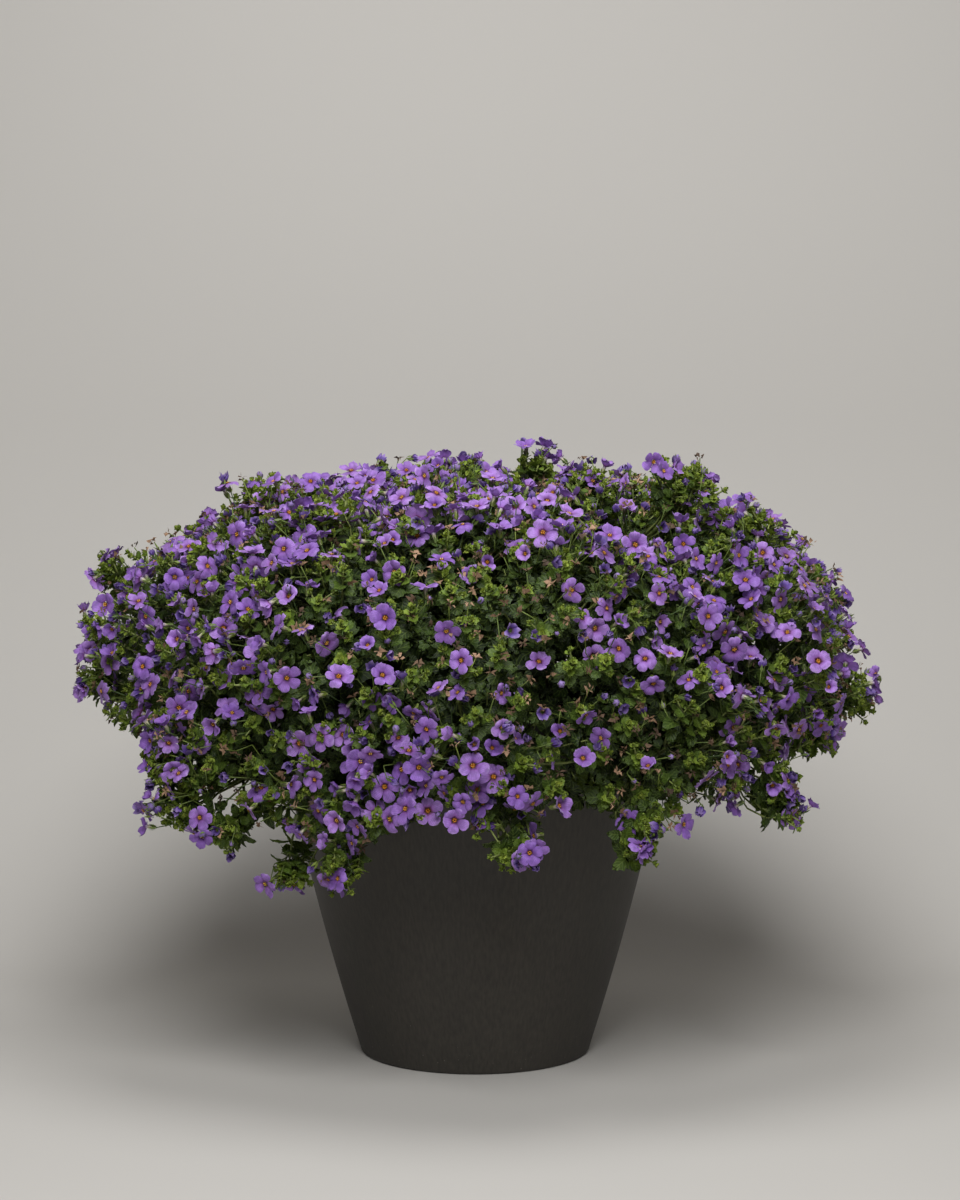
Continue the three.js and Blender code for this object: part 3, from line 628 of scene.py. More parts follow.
def drain_cutter():
    """Five upright rods, which cut the drain holes."""
    turn = np.arange(DRAIN_SIDES) * 2 * math.pi / DRAIN_SIDES
    ring = np.stack([DRAIN_RADIUS * np.cos(turn), DRAIN_RADIUS * np.sin(turn)], 1)
    rod = np.concatenate([np.column_stack([ring, np.full(DRAIN_SIDES, z)]) for z in (-20.0, 20.0)])
    angle = np.arange(DRAINS) * 2 * math.pi / DRAINS
    centre = DRAIN_CIRCLE * np.stack([np.cos(angle), np.sin(angle), 0 * angle], 1)
    points = (rod[None] + centre[:, None]).reshape(-1, 3)
    faces = []
    for start in range(0, len(points), len(rod)):
        middle, end = start + DRAIN_SIDES, start + len(rod)
        faces += (grid_faces(2, DRAIN_SIDES, closed=True) + start).tolist()
        faces += [list(range(middle - 1, start - 1, -1)), list(range(middle, end))]
    mesh = bpy.data.meshes.new("drain_cutter")
    mesh.from_pydata((points * MM).tolist(), [], faces)
    return put("drain_cutter", mesh)


def make_pot():
    """The pot: its turned shell, from which the rods are subtracted."""
    points, faces = turned(pot_profile(), POT_SIDES)
    material = pot_material()
    pot = build("planter", [part(points[None], faces, material, [0.5, 0.5], 0, 0)], [material])
    cutter = drain_cutter()
    cut = pot.modifiers.new("drains", "BOOLEAN")
    cut.object = cutter
    cut.operation = "DIFFERENCE"
    bpy.context.view_layer.update()
    shaped = pot.evaluated_get(bpy.context.evaluated_depsgraph_get())
    mesh = bpy.data.meshes.new_from_object(shaped)
    pot.modifiers.clear()
    pot.data = mesh
    bpy.data.objects.remove(cutter)
    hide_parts("pot")
    return pot


print("planter:", triangles(make_pot()), "triangles")


# %% [markdown]
# ## The soil
# Potting compost is a loose mix of peat, bark and fibre. Little of it is ever seen under this
# plant, but from above and through gaps it has to read as crumbs and not as a disc. Its top
# is a polar grid whose height follows two sizes of random bumps.

# %% Soil
SOIL_CROWN = 3.0
SOIL_GAP = 0.35
SOIL_SIDES = 144
SOIL_RINGS = 40
CRUMB = 1.6
SWELL_ACROSS = 9.0
SWELL_ALONG = 7.0
SWELL_SHARE = 0.6


def soil_material():
    """Peat and bark: dark brown crumbs, some nearly black, and a few pale fibres."""
    material, tree = new_material("potting compost")
    colour = add(tree, "ShaderNodeValToRGB", {"Fac": blotches(tree, 3, 4.0)},
                 stops=[(0.3, "#17100b"), (0.55, "#332319"), (0.75, "#5a4330")])
    bumps = add(tree, "ShaderNodeBump", {
        "Height": blotches(tree, 1.5, 3.0), "Strength": 0.6, "Distance": 0.001,
    })
    finish_material(tree, add(tree, "ShaderNodeBsdfPrincipled", {
        "Base Color": colour, "Roughness": 0.95, "Normal": bumps,
    }))
    return material


def make_soil():
    """The soil: a turned block whose top rises in the middle, roughened by random crumbs."""
    edge = pot_radius(SOIL_TOP) - POT_WALL - SOIL_GAP
    z = np.linspace(POT_FLOOR + SOIL_GAP, SOIL_TOP, 8)
    side = np.stack([pot_radius(z) - POT_WALL - SOIL_GAP, z], 1)
    share = np.linspace(1, 0, SOIL_RINGS)[1:]
    top = np.stack([edge * share, SOIL_TOP + SOIL_CROWN * (1 - share ** 2)], 1)
    profile = np.vstack([[[0, POT_FLOOR + SOIL_GAP]], side, top])
    points, faces = turned(profile, SOIL_SIDES)
    rng = np.random.default_rng(7)
    x, y, z = points.T
    swell = SWELL_SHARE * np.sin(x / SWELL_ACROSS) * np.cos(y / SWELL_ALONG)
    crumbs = rng.uniform(-1, 0.3, len(points)) + swell
    points[:, 2] += np.where(z > SOIL_TOP, CRUMB * crumbs, 0)
    material = soil_material()
    soil = build("compost", [part(points[None], faces, material, [0.5, 0.5], 0, 0)], [material])
    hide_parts("soil")
    return soil


print("compost:", triangles(make_soil()), "triangles")


# %% [markdown]
# ## Shoots
# The stems of a spray leave the soil together, and branch into shoots that end at the
# mound's surface. A shoot is a curve with three control points: where it branches off, a
# point behind its tip in line with the way the tip grows, and the tip. Shoots of the first
# kind end at the surface with a fresh rosette. Those of the second kind end deeper in the
# shade and fill the mound with older leaves, whose colour is darkened further as painted
# shade.

# %% Where the shoots are
STEM_END_DEPTH = 82.0
STEM_SPREAD = 112.0
RIM_CLEARANCE = 18.0
STEM_CLIMB = 34.0
BRANCH_JITTER = 16.0
SHOOT_SWAY = 0.24
STRAIGHT_END = 0.55
# Vigour is the size of a shoot's leaves, and how far apart they stand
SHOOT_VIGOUR = (0.82, 1.2)
SIDE_VIGOUR = (0.7, 0.95)
INNER_VIGOUR = 1.5
# Side shoots: how far below the tip they start, how far they lean out, and their length
SIDE_START = (5, 15)
SIDE_LEAN = (0.7, 1.5)
SIDE_LENGTH = (7, 13)
EACH_BUNCH = 7
# A shoot's curve is about this much longer than the straight line from end to end
CURVE_LENGTH = 1.1


def make_shoots(seed, v, depth, lift):
    """Shoots as arrays: spray number, branching point, control point, tip and the direction
    that the tip grows in. The direction is the surface's, turned upwards and at random."""
    rng = np.random.default_rng(seed)
    count = len(v)
    tip = under(v, depth)
    grow = unit(outward(v) + lift * UP + rng.normal(0, SHOOT_SWAY, (count, 3)))
    spray = np.argmax(v @ AIMS.T, axis=1)
    hub = under(AIMS, np.full(len(AIMS), STEM_END_DEPTH))[spray]
    start = hub + rng.normal(0, 0.4, (count, 3)) * BRANCH_JITTER
    length = np.linalg.norm(tip - start, axis=1)
    control = tip - grow * (STRAIGHT_END * length)[:, None]
    return {"spray": spray, "start": start, "control": control, "tip": tip, "grow": grow,
            "length": length, "vigour": rng.uniform(*SHOOT_VIGOUR, count),
            "turn": rng.uniform(0, 1, count)}


def along_shoot(shoots, t):
    """Points of the shoots' curves: a quadratic Bezier curve at each parameter t."""
    a, b, c = (shoots[key][:, None] for key in ("start", "control", "tip"))
    t = t[..., None]
    return a * (1 - t) ** 2 + 2 * b * t * (1 - t) + c * t ** 2


def shoot_direction(shoots, t):
    """The direction of each curve there: its derivative."""
    a, b, c = (shoots[key][:, None] for key in ("start", "control", "tip"))
    t = t[..., None]
    return unit((b - a) * (1 - t) + (c - b) * t)


def side_shoots(shoots, seed, each):
    """Short shoots in the leaf axils a little below each tip. They lean out of the stem by
    about 45 degrees, and turn the tip into a bushy tuft."""
    rng = np.random.default_rng(seed)
    chosen = {key: np.repeat(value, each, axis=0) for key, value in shoots.items()}
    count = len(chosen["tip"])
    t = 1 - rng.uniform(*SIDE_START, count) / (CURVE_LENGTH * chosen["length"])
    start = along_shoot(chosen, t[:, None])[:, 0]
    stem = shoot_direction(chosen, t[:, None])[:, 0]
    sideways = rng.normal(0, 1, (count, 3))
    sideways = unit(sideways - stem * (sideways * stem).sum(-1, keepdims=True))
    grow = unit(stem + sideways * rng.uniform(*SIDE_LEAN, (count, 1)))
    length = rng.uniform(*SIDE_LENGTH, count)
    return {"spray": chosen["spray"], "start": start, "control": start + grow * (0.5 * length)[:, None],
            "tip": start + grow * length[:, None], "grow": grow, "length": length,
            "vigour": rng.uniform(*SIDE_VIGOUR, count), "turn": rng.uniform(0, 1, count)}


def surface_shoots(seed, spacing):
    """The shoots that end at the surface, and the bunches that stand out of it."""
    rng = np.random.default_rng(seed)
    v = scatter(seed, spacing)
    more, outer = bunches(seed, EACH_BUNCH)
    depth = np.concatenate([rng.uniform(-1, 11, len(v)) + relief(v), outer])
    return make_shoots(seed, np.concatenate([v, more]), depth, 0.4)


def deeper_shoots(seed, spacing, depth):
    """Shoots that end in the shade, below the surface."""
    rng = np.random.default_rng(seed)
    v = scatter(seed, spacing)
    depths = rng.uniform(*depth, len(v)) + relief(v)
    return make_shoots(seed, v, depths, 0.15)


FRESH = surface_shoots(11, 21.0)
SIDE = side_shoots(FRESH, 13, 2)
SHADED = deeper_shoots(12, 20.0, (16, 38))
INNER = deeper_shoots(14, 19.0, (40, 85))
INNER["vigour"] = INNER_VIGOUR * INNER["vigour"]
print("shoots:", *(len(x["tip"]) for x in (FRESH, SIDE, SHADED, INNER)))


# %% [markdown]
# ## Leaves
# A bacopa leaf is egg-shaped with two or three blunt teeth a side. It is a grid of a few
# rows and three columns between one point at its stalk and one at its tip. The rows lie at
# the teeth and the notches, so that twenty points are enough for the outline. Its halves
# fold up from the midrib, and the blade bends down towards the tip. Younger leaves are so
# small that four rows will do, and three for the youngest.

# %% Leaf shape
# For each row: its share of the length, and its share of the half width
LARGE_LEAF = np.array([
    (0.17, 0.52), (0.34, 1.0), (0.46, 0.80), (0.62, 0.88), (0.73, 0.60), (0.88, 0.46),
])
SMALL_LEAF = np.array([(0.26, 0.80), (0.48, 1.0), (0.61, 0.62), (0.84, 0.52)])
TINY_LEAF = np.array([(0.30, 0.86), (0.56, 0.98), (0.80, 0.60)])
# A drooping blade looks shorter, and its tip sinks by a share of its length
DROOP_SHORTENS = 0.12
DROOP_SINKS = 0.45
# How uneven a leaf is: its outline, and its face
UNEVEN_OUTLINE = (0.85, 1.12)
UNEVEN_FACE = 0.022


def leaf_faces(outline):
    """Two triangles at the stalk, quads between the rows, two triangles at the tip."""
    body = grid_faces(len(outline), 3) + 1
    last = 3 * len(outline)
    ends = np.array([[0, 2, 1], [0, 3, 2], [last - 2, last - 1, last + 1], [last - 1, last, last + 1]])
    return [body[:, ::-1], ends]


def leaf_grid(outline):
    """For each point its share of the length, its column from -1 to 1 and its half width."""
    u = np.concatenate([[0], np.repeat(outline[:, 0], 3), [1]])
    c = np.concatenate([[0], np.tile([-1, 0, 1], len(outline)), [0]])
    half = np.concatenate([[0], np.repeat(outline[:, 1], 3), [0]])
    return u, c, half


def leaf_points(outline, length, width, fold, droop, rng):
    """All leaves at once. Along the blade, a point lies at its row's share of the length.
    Across, it lies at its column times the outline's half width. It rises with the fold
    times the distance from the midrib, and sinks with the droop times the square of the
    distance from the stalk. A little noise makes every outline its own."""
    u, c, half = leaf_grid(outline)
    shape = (len(length), len(u))
    along = u * (1 - DROOP_SHORTENS * droop[:, None] * u) * length[:, None]
    across = c * half * width[:, None] / 2 * rng.uniform(*UNEVEN_OUTLINE, shape)
    sink = droop[:, None] * u ** 2 * length[:, None] * DROOP_SINKS
    rise = fold[:, None] * np.abs(across) - sink
    rise = rise + rng.normal(0, UNEVEN_FACE, shape) * length[:, None] * (u > 0)
    return np.stack([along, across, rise], -1)


def leaf_uv(outline):
    """The first coordinate runs along a leaf, and the second across it."""
    u, c, _ = leaf_grid(outline)
    return np.stack([u, 0.5 + 0.5 * c], -1)


print("points of a leaf:", *(len(leaf_uv(outline)) for outline in (LARGE_LEAF, SMALL_LEAF, TINY_LEAF)))


# %% [markdown]
# ## Leaves on their shoots
# Leaves stand in pairs, each pair turned a quarter from the one before it. At the tip they
# are tiny, upright and close together: the rosette. Further down they are larger, darker and
# more spread out. So four short lists say all: for each pair the distance from the tip, the
# length, the angle from the stem and the age.

# %% Leaf pairs
PAIR_DISTANCE = np.array([0.3, 1.2, 2.4, 3.9, 5.8, 8.2, 11.5, 16.0, 22.0, 29.0])
PAIR_LENGTH = np.array([2.6, 3.5, 4.5, 5.6, 6.9, 8.2, 9.4, 10.5, 11.5, 12.2])
PAIR_ANGLE = np.radians([14, 27, 40, 50, 58, 65, 72, 78, 86, 94])
PAIR_AGE = np.array([0.0, 0.03, 0.08, 0.15, 0.25, 0.38, 0.54, 0.7, 0.86, 1.0])
# The least and the most: width as a share of the length, slope of the halves, droop
LEAF_WIDTH = (0.68, 0.88)
LEAF_FOLD = (0.15, 0.5)
LEAF_DROOP = (0.1, 0.6)
# How much the leaves differ: turn about the stem, angle from it, age, tilt and size
TURN_NOISE = 0.22
ANGLE_NOISE = 0.14
AGE_NOISE = 0.07
TILT_NOISE = 0.25
SIZE_RANGE = (0.85, 1.15)


def leaves_of(shoots, first, last, outline, seed, age_and_shade=0.0):
    """The leaves of all shoots from one pair to another, as points with their spray, age and
    tint. Distances are counted from the shoot's first pair."""
    rng = np.random.default_rng(seed)
    pairs = np.arange(first, last)
    count = len(shoots["tip"])
    begin = PAIR_DISTANCE[first] if age_and_shade > 0.1 else 0
    distance = (PAIR_DISTANCE[pairs] - begin)[None] * shoots["vigour"][:, None]
    t = np.maximum(1 - distance / (CURVE_LENGTH * shoots["length"][:, None]), 0.05)
    root = along_shoot(shoots, t)
    stem = shoot_direction(shoots, t)
    reference = unit(np.cross(stem, UP + 0.01))
    other = np.cross(stem, reference)
    turn = 2 * math.pi * shoots["turn"][:, None] + (math.pi / 2) * pairs
    turn = turn[..., None] + np.array([0, math.pi]) + rng.normal(0, TURN_NOISE, (count, len(pairs), 2))
    sideways = reference[:, :, None] * np.cos(turn)[..., None]
    sideways = sideways + other[:, :, None] * np.sin(turn)[..., None]
    angle = PAIR_ANGLE[pairs][None, :, None] + rng.normal(0, ANGLE_NOISE, turn.shape)
    stem, root = (np.broadcast_to(x[:, :, None], sideways.shape) for x in (stem, root))
    blade = stem * np.cos(angle)[..., None] + sideways * np.sin(angle)[..., None]
    face = stem * np.sin(angle)[..., None] - sideways * np.cos(angle)[..., None]
    size = PAIR_LENGTH[pairs][None, :, None] * shoots["vigour"][:, None, None]
    size = size * rng.uniform(*SIZE_RANGE, turn.shape)
    # The extra age of the deeper shoots is partly their leaves' real age and partly painted shade,
    # which darkens the inside of the mound
    age = PAIR_AGE[pairs][None, :, None] + age_and_shade + rng.normal(0, AGE_NOISE, turn.shape)
    age = np.clip(age, 0, 1)
    root, blade, face = (x.reshape(-1, 3) for x in (root, blade, face))
    size, age = size.ravel(), age.ravel()
    number = len(size)
    tilt = rng.normal(0, TILT_NOISE, (number, 1))
    face = unit(face + np.cross(blade, face) * tilt)
    width = size * rng.uniform(*LEAF_WIDTH, number)
    fold = rng.uniform(*LEAF_FOLD, number)
    droop = rng.uniform(*LEAF_DROOP, number) * (0.5 + age)
    local = leaf_points(outline, size, width, fold, droop, rng)
    return {"points": place(local, root, axes_from(blade, face)), "age": age, "outline": outline,
            "spray": np.repeat(shoots["spray"], 2 * len(pairs)), "tint": rng.uniform(0, 1, number)}


LEAVES = [
    leaves_of(FRESH, 0, 3, TINY_LEAF, 20),
    leaves_of(FRESH, 3, 5, SMALL_LEAF, 21),
    leaves_of(FRESH, 5, 9, LARGE_LEAF, 22),
    leaves_of(SIDE, 0, 4, TINY_LEAF, 23, 0.04),
    # The deeper shoots' extra age is partly real age and partly painted shade
    leaves_of(SHADED, 6, 10, SMALL_LEAF, 24, 0.2),
    leaves_of(INNER, 7, 10, SMALL_LEAF, 25, 0.3),
]
print("leaves:", sum(len(x["age"]) for x in LEAVES))


# %% [markdown]
# ## Stalks and stems
# A stem is a thin tube along a curve. All tubes of one kind have the same number of rings and
# sides, so their points are one large array: the curve's points plus a circle across them.

# %% Tubes
def tube_points(paths, radii, sides):
    """Rings of points round each path. A ring's plane is at right angles to the path."""
    along = unit(np.gradient(paths, axis=1))
    chord = unit(paths[:, -1] - paths[:, 0])
    reference = np.where(np.abs(chord[:, 2:]) < 0.8, UP, [1.0, 0, 0])[:, None]
    first = unit(np.cross(along, reference))
    second = np.cross(along, first)
    turn = np.arange(sides) * 2 * math.pi / sides
    ring = first[:, :, None] * np.cos(turn)[:, None] + second[:, :, None] * np.sin(turn)[:, None]
    points = paths[:, :, None] + radii[..., None, None] * ring
    return points.reshape(len(paths), paths.shape[1] * sides, 3)


def tube_faces(rings, sides):
    """The quads of a tube, and a cap at each end."""
    low = np.arange(sides)[::-1][None]
    high = (rings - 1) * sides + np.arange(sides)[None]
    return [grid_faces(rings, sides, closed=True), low, high]


def bezier(a, b, c, steps):
    """Points of quadratic Bezier curves, (curves, steps, 3)."""
    t = np.linspace(0, 1, steps)[None, :, None]
    return a[:, None] * (1 - t) ** 2 + 2 * b[:, None] * t * (1 - t) + c[:, None] * t ** 2


TRUNK_RINGS = 9
TRUNK_SIDES = 4
TRUNKS = 5
# Radii in millimetres, at the foot and at the end
TRUNK_RADII = (1.9, 1.2)
SHOOT_RADII = (1.0, 0.45)
# How far apart the trunks of a spray are: in the soil, half way and where they branch
TRUNK_SPREAD = (2.2, 6.0, 7.0)


def shoot_tubes(shoots, rings, sides):
    """The stems of the shoots, 0.9 mm across at the tip and 2 mm where they branch off."""
    paths = bezier(shoots["start"], shoots["control"], shoots["tip"], rings)
    radii = np.broadcast_to(np.linspace(*SHOOT_RADII, rings), paths.shape[:2])
    return tube_points(paths, radii, sides)


def trunk_tubes(seed):
    """The stems that bear each spray: from the soil, over the rim for those of the skirt, to
    where the shoots branch off. Several thin ones run side by side."""
    rng = np.random.default_rng(seed)
    level = np.hypot(AIMS[:, 0], AIMS[:, 1])
    flat = unit(AIMS * [1, 1, 0])
    foot = flat * (STEM_SPREAD * level ** 1.5)[:, None]
    hub = under(AIMS, np.full(len(AIMS), STEM_END_DEPTH))
    skirt = np.array([name.startswith("skirt") for name in SPRAYS])
    rim = flat * pot_radius(POT_HEIGHT) + UP * (POT_HEIGHT + RIM_CLEARANCE)
    climb = foot + UP * (SOIL_TOP + SOIL_CROWN + STEM_CLIMB)
    control = np.where(skirt[:, None], rim + (rim - hub) * 0.15 + UP * 12, climb)
    foot = foot + UP * (SOIL_TOP - 10)
    spread = rng.normal(0, 1, (len(AIMS), TRUNKS, 3))
    ends = [x[:, None] + spread * size for x, size in zip((foot, control, hub), TRUNK_SPREAD)]
    paths = bezier(*(x.reshape(-1, 3) for x in ends), TRUNK_RINGS)
    radii = np.broadcast_to(np.linspace(*TRUNK_RADII, TRUNK_RINGS), paths.shape[:2])
    return tube_points(paths, radii, TRUNK_SIDES), np.repeat(np.arange(len(AIMS)), TRUNKS)


print("trunks:", TRUNKS * len(AIMS))


# %% [markdown]
# ## Finishes of the green parts
# A leaf is lit from both sides: part of the light passes through it, which makes a shoot glow
# yellow-green. So its material mixes a glossy, slightly downy front with a translucent
# shader. The age runs from a bright yellow-green to a dull dark green, and the veins are
# pale lines, worked out from the leaf's own coordinates.

# %% Leaf and stem materials
def surface_of(tree):
    """The two surface coordinates of a leaf or petal: along it, and across it."""
    along = add(tree, "ShaderNodeSeparateXYZ", {0: add(tree, "ShaderNodeUVMap", uv_map="surface")})
    return along, along.node.outputs["Y"]


def leaf_material():
    """Living leaf: a waxy skin over wet green flesh, with fine down. That gives a soft sheen,
    light that shines through, and paler veins. A vein lies where a sine wave along the leaf,
    slanted by the distance from the midrib, crosses zero."""
    material, tree = new_material("living leaf")
    age = add(tree, "ShaderNodeAttribute", attribute_name="age", out="Fac")
    tint = add(tree, "ShaderNodeAttribute", attribute_name="tint", out="Fac")
    # The deeper shoots' leaves reach the dark end of this ramp, partly through extra age that is
    # painted shade
    green = add(tree, "ShaderNodeValToRGB", {"Fac": age},
                stops=[(0.0, "#a7b746"), (0.2, "#819a32"), (0.5, "#4a611c"), (1.0, "#1d2c11")])
    share = add(tree, "ShaderNodeMath", {0: tint, 1: 0.3}, operation="MULTIPLY")
    green = add(tree, "ShaderNodeMix", {"Factor": share, "A": green, "B": linear("#3d5826")},
                data_type="RGBA")
    green = mottled(tree, green, 4, 3.0, [(0.3, "#d9d9d9"), (0.7, "#ffffff")])
    along, across = surface_of(tree)
    side = add(tree, "ShaderNodeMath", {0: across, 1: 0.5}, operation="SUBTRACT")
    side = add(tree, "ShaderNodeMath", {0: side}, operation="ABSOLUTE")
    slant = add(tree, "ShaderNodeMath", {0: side, 1: 0.7}, operation="MULTIPLY")
    slant = add(tree, "ShaderNodeMath", {0: along, 1: slant}, operation="SUBTRACT")
    wave = add(tree, "ShaderNodeMath", {0: slant, 1: 16.0}, operation="MULTIPLY")
    wave = add(tree, "ShaderNodeMath", {0: wave}, operation="SINE")
    wave = add(tree, "ShaderNodeMath", {0: wave}, operation="ABSOLUTE")
    midrib = add(tree, "ShaderNodeMath", {0: side, 1: 9.0}, operation="MULTIPLY")
    veins = add(tree, "ShaderNodeMath", {0: wave, 1: midrib}, operation="MINIMUM")
    vein = add(tree, "ShaderNodeMapRange", {
        "Value": veins, "From Max": 0.35, "To Min": 0.5, "To Max": 0.0,
    })
    green = add(tree, "ShaderNodeMix", {"Factor": vein, "A": green, "B": linear("#8ba24e")},
                data_type="RGBA")
    bump = add(tree, "ShaderNodeBump", {"Height": veins, "Strength": 0.35, "Distance": 0.0005})
    skin = add(tree, "ShaderNodeBsdfPrincipled", {
        "Base Color": green, "Roughness": 0.52, "Normal": bump, "IOR": 1.4,
        "Sheen Weight": 0.02, "Sheen Roughness": 0.4,
    })
    lit = add(tree, "ShaderNodeMix", {"Factor": 0.5, "A": green, "B": linear("#9aae2c")},
              data_type="RGBA")
    glow = add(tree, "ShaderNodeBsdfTranslucent", {"Color": lit})
    finish_material(tree, add(tree, "ShaderNodeMixShader", {0: 0.2, 1: skin, 2: glow}))
    return material


def stem_material():
    """Soft green stem, a little woody and brown where it is old."""
    material, tree = new_material("herbaceous stem")
    age = add(tree, "ShaderNodeAttribute", attribute_name="age", out="Fac")
    colour = add(tree, "ShaderNodeValToRGB", {"Fac": age},
                 stops=[(0.0, "#8a9a48"), (0.6, "#5e6b34"), (1.0, "#5b4a30")])
    patches = add(tree, "ShaderNodeValToRGB", {"Fac": blotches(tree, 3, 2.0)},
                  stops=[(0.3, "#3f4a24"), (0.7, "#8b8a55")])
    colour = add(tree, "ShaderNodeMix", {"Factor": 0.3, "A": colour, "B": patches}, data_type="RGBA")
    finish_material(tree, add(tree, "ShaderNodeBsdfPrincipled", {
        "Base Color": colour, "Roughness": 0.6,
    }))
    return material


LEAF = leaf_material()
STEM = stem_material()
print("finishes:", LEAF.name, "and", STEM.name)


# %% [markdown]
# ## The leafy sprays
# All shoots and leaves know the spray that they grow from. So each spray is now one mesh of
# its own trunks, shoots and leaves, and takes the place of that spray's solid. One mesh for
# each would be far too many objects, and one for the whole plant would be too large.

# %% Leafy sprays
# Each kind of shoot with the rings and sides of its stems
STEMS = [(FRESH, 6, 4), (SIDE, 3, 3), (SHADED, 4, 3), (INNER, 4, 3)]


def shoot_parts(shoots, chosen, rings, sides):
    """The stems of the chosen shoots. The age grows from tip to branch."""
    points = shoot_tubes({key: value[chosen] for key, value in shoots.items()}, rings, sides)
    age = np.repeat(np.linspace(0.8, 0.1, rings), sides)
    return part(points, tube_faces(rings, sides), STEM, [0.5, 0.5], age[None], 0.5)


def make_sprays():
    """One piece for each spray: the trunks, stems and leaves that carry its number."""
    trunks, owners = trunk_tubes(31)
    total = 0
    for number, name in enumerate(SPRAYS):
        parts = [part(trunks[owners == number], tube_faces(TRUNK_RINGS, TRUNK_SIDES), STEM,
                      [0.5, 0.5], 0.9, 0.5)]
        for shoots, rings, sides in STEMS:
            parts.append(shoot_parts(shoots, shoots["spray"] == number, rings, sides))
        for leaves in LEAVES:
            own = leaves["spray"] == number
            parts.append(part(leaves["points"][own], leaf_faces(leaves["outline"]), LEAF,
                              leaf_uv(leaves["outline"]), leaves["age"][own][:, None],
                              leaves["tint"][own][:, None]))
        piece = build(f"{name}_leafy_stems", parts, [LEAF, STEM])
        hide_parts(f"{name}_foliage")
        total += triangles(piece)
    return total


print("leafy stems:", make_sprays(), "triangles")


# %% [markdown]
# ## Flowers
# A bacopa flower is a short tube that opens to five rounded lobes, about 18 mm across. Each
# lobe is a grid of six rows and three columns, narrow at the throat and broad beyond the
# middle. The lobes overlap a little at their base, so each is tilted about its own midline
# like a roof tile. The whole flower is cupped more or less, and some of them bend back.

# %% Flower shape
BLOOM_RADIUS = 9.2
LOBES = 5
# For each row of a lobe: its share of the lobe's length, and its share of the half width
LOBE = np.array([
    (0.0, 0.33), (0.25, 0.72), (0.5, 0.97), (0.74, 1.0), (0.92, 0.68), (1.0, 0.28),
])
CRUMPLED_LOBE = np.array([(0.0, 0.4), (0.4, 0.9), (0.75, 0.9), (1.0, 0.4)])
LOBE_WIDTH = 0.375
# The lowest lobe is the longest; the two uppermost are shorter and stand up more
LOBE_LENGTH = np.array([1.0, 0.97, 0.87, 0.87, 0.97])
LOBE_STAND = np.array([0.0, 0.0, 0.18, 0.18, 0.0])
LOBE_TURN = np.radians([-90, -18, 54, 126, 198])
# How much lobes differ: cup, curl and turn, length, width
CUP_NOISE = 0.16
CURL_NOISE = 0.3
LOBE_TURN_NOISE = 0.06
LOBE_LENGTHS = (0.93, 1.06)
LOBE_WIDTHS = (0.92, 1.07)
# A lobe's sides sink, one side lies over its neighbour, and the corners of its tip are cut
SIDES_SINK = 0.09
TILE_TILT = 0.045
TIP_CUT = 0.04
THROAT = 0.17
TUBE_LENGTH = 6.5
TUBE_RINGS = 3


def lobe_points(bloom, outline, noise_size, rng):
    """The lobes of all flowers. Each lobe is a strip whose slope goes from the cup at the
    throat to the curl at its tip, so its points are found by adding up short steps along
    that slope. Across, a point lies at its column times the outline. The sides sink a
    little, and the whole lobe is tilted like a tile."""
    count = len(bloom["size"])
    rows = outline[:, 0]
    shape = (count, LOBES, 1)
    middle = (rows[1:] + rows[:-1]) / 2
    cup = bloom["cup"][:, None, None] + LOBE_STAND[:, None] + rng.normal(0, CUP_NOISE, shape)
    curl = bloom["curl"][:, None, None] + rng.normal(0, CURL_NOISE, shape)
    slope = cup * (1 - middle) + curl * middle
    length = LOBE_LENGTH[:, None] * rng.uniform(*LOBE_LENGTHS, shape) - THROAT
    steps = np.diff(rows) * length
    away = THROAT + np.cumsum(steps * np.cos(slope), -1)
    rise = np.cumsum(steps * np.sin(slope), -1)
    start = np.zeros((count, LOBES, 1))
    away = np.repeat(np.concatenate([start + THROAT, away], -1), 3, -1)
    rise = np.repeat(np.concatenate([start, rise], -1), 3, -1)
    r = np.repeat(rows, 3)
    c = np.tile([-1.0, 0.0, 1.0], len(rows))
    half = np.repeat(outline[:, 1], 3) * LOBE_WIDTH
    across = c * half * rng.uniform(*LOBE_WIDTHS, shape)
    away = away - TIP_CUT * (r == 1) * np.abs(c) + TIP_CUT / 2 * (r == 1)
    rise = rise - SIDES_SINK * c ** 2 * (0.3 + r) + TILE_TILT * c * r
    rise = rise + rng.normal(0, noise_size, (count, LOBES, len(r))) * r
    turn = LOBE_TURN[None, :, None] + rng.normal(0, LOBE_TURN_NOISE, shape)
    x = away * np.cos(turn) - across * np.sin(turn)
    y = away * np.sin(turn) + across * np.cos(turn)
    local = np.stack([x, y, rise], -1) * bloom["size"][:, None, None, None]
    return local.reshape(count, LOBES * len(r), 3)


def tube_of_bloom(bloom):
    """The funnel behind the lobes: rings that narrow from the throat to the stalk."""
    turn = 2 * math.pi * (np.arange(LOBES) + 0.5) / LOBES
    radius = np.array([THROAT * 1.02, 0.13, 0.09])[:, None]
    depth = np.array([0.0, 0.4, 1.0])[:, None]
    x = radius * np.cos(turn) * bloom["size"][:, None, None]
    y = radius * np.sin(turn) * bloom["size"][:, None, None]
    z = np.broadcast_to(-depth * TUBE_LENGTH, x.shape)
    return np.stack([x, y, z], -1).reshape(len(bloom["size"]), TUBE_RINGS * LOBES, 3)


def throat_of_bloom(bloom):
    """The inside of the throat: a short funnel from the foot of the lobes to the middle."""
    turn = 2 * math.pi * (np.arange(LOBES) + 0.5) / LOBES
    radius = np.array([THROAT * 1.03, 0.04])[:, None]
    x, y = radius * np.cos(turn), radius * np.sin(turn)
    local = np.stack([x, y, np.broadcast_to([[0.015], [-0.22]], x.shape)], -1).reshape(1, -1, 3)
    return local * bloom["size"][:, None, None]


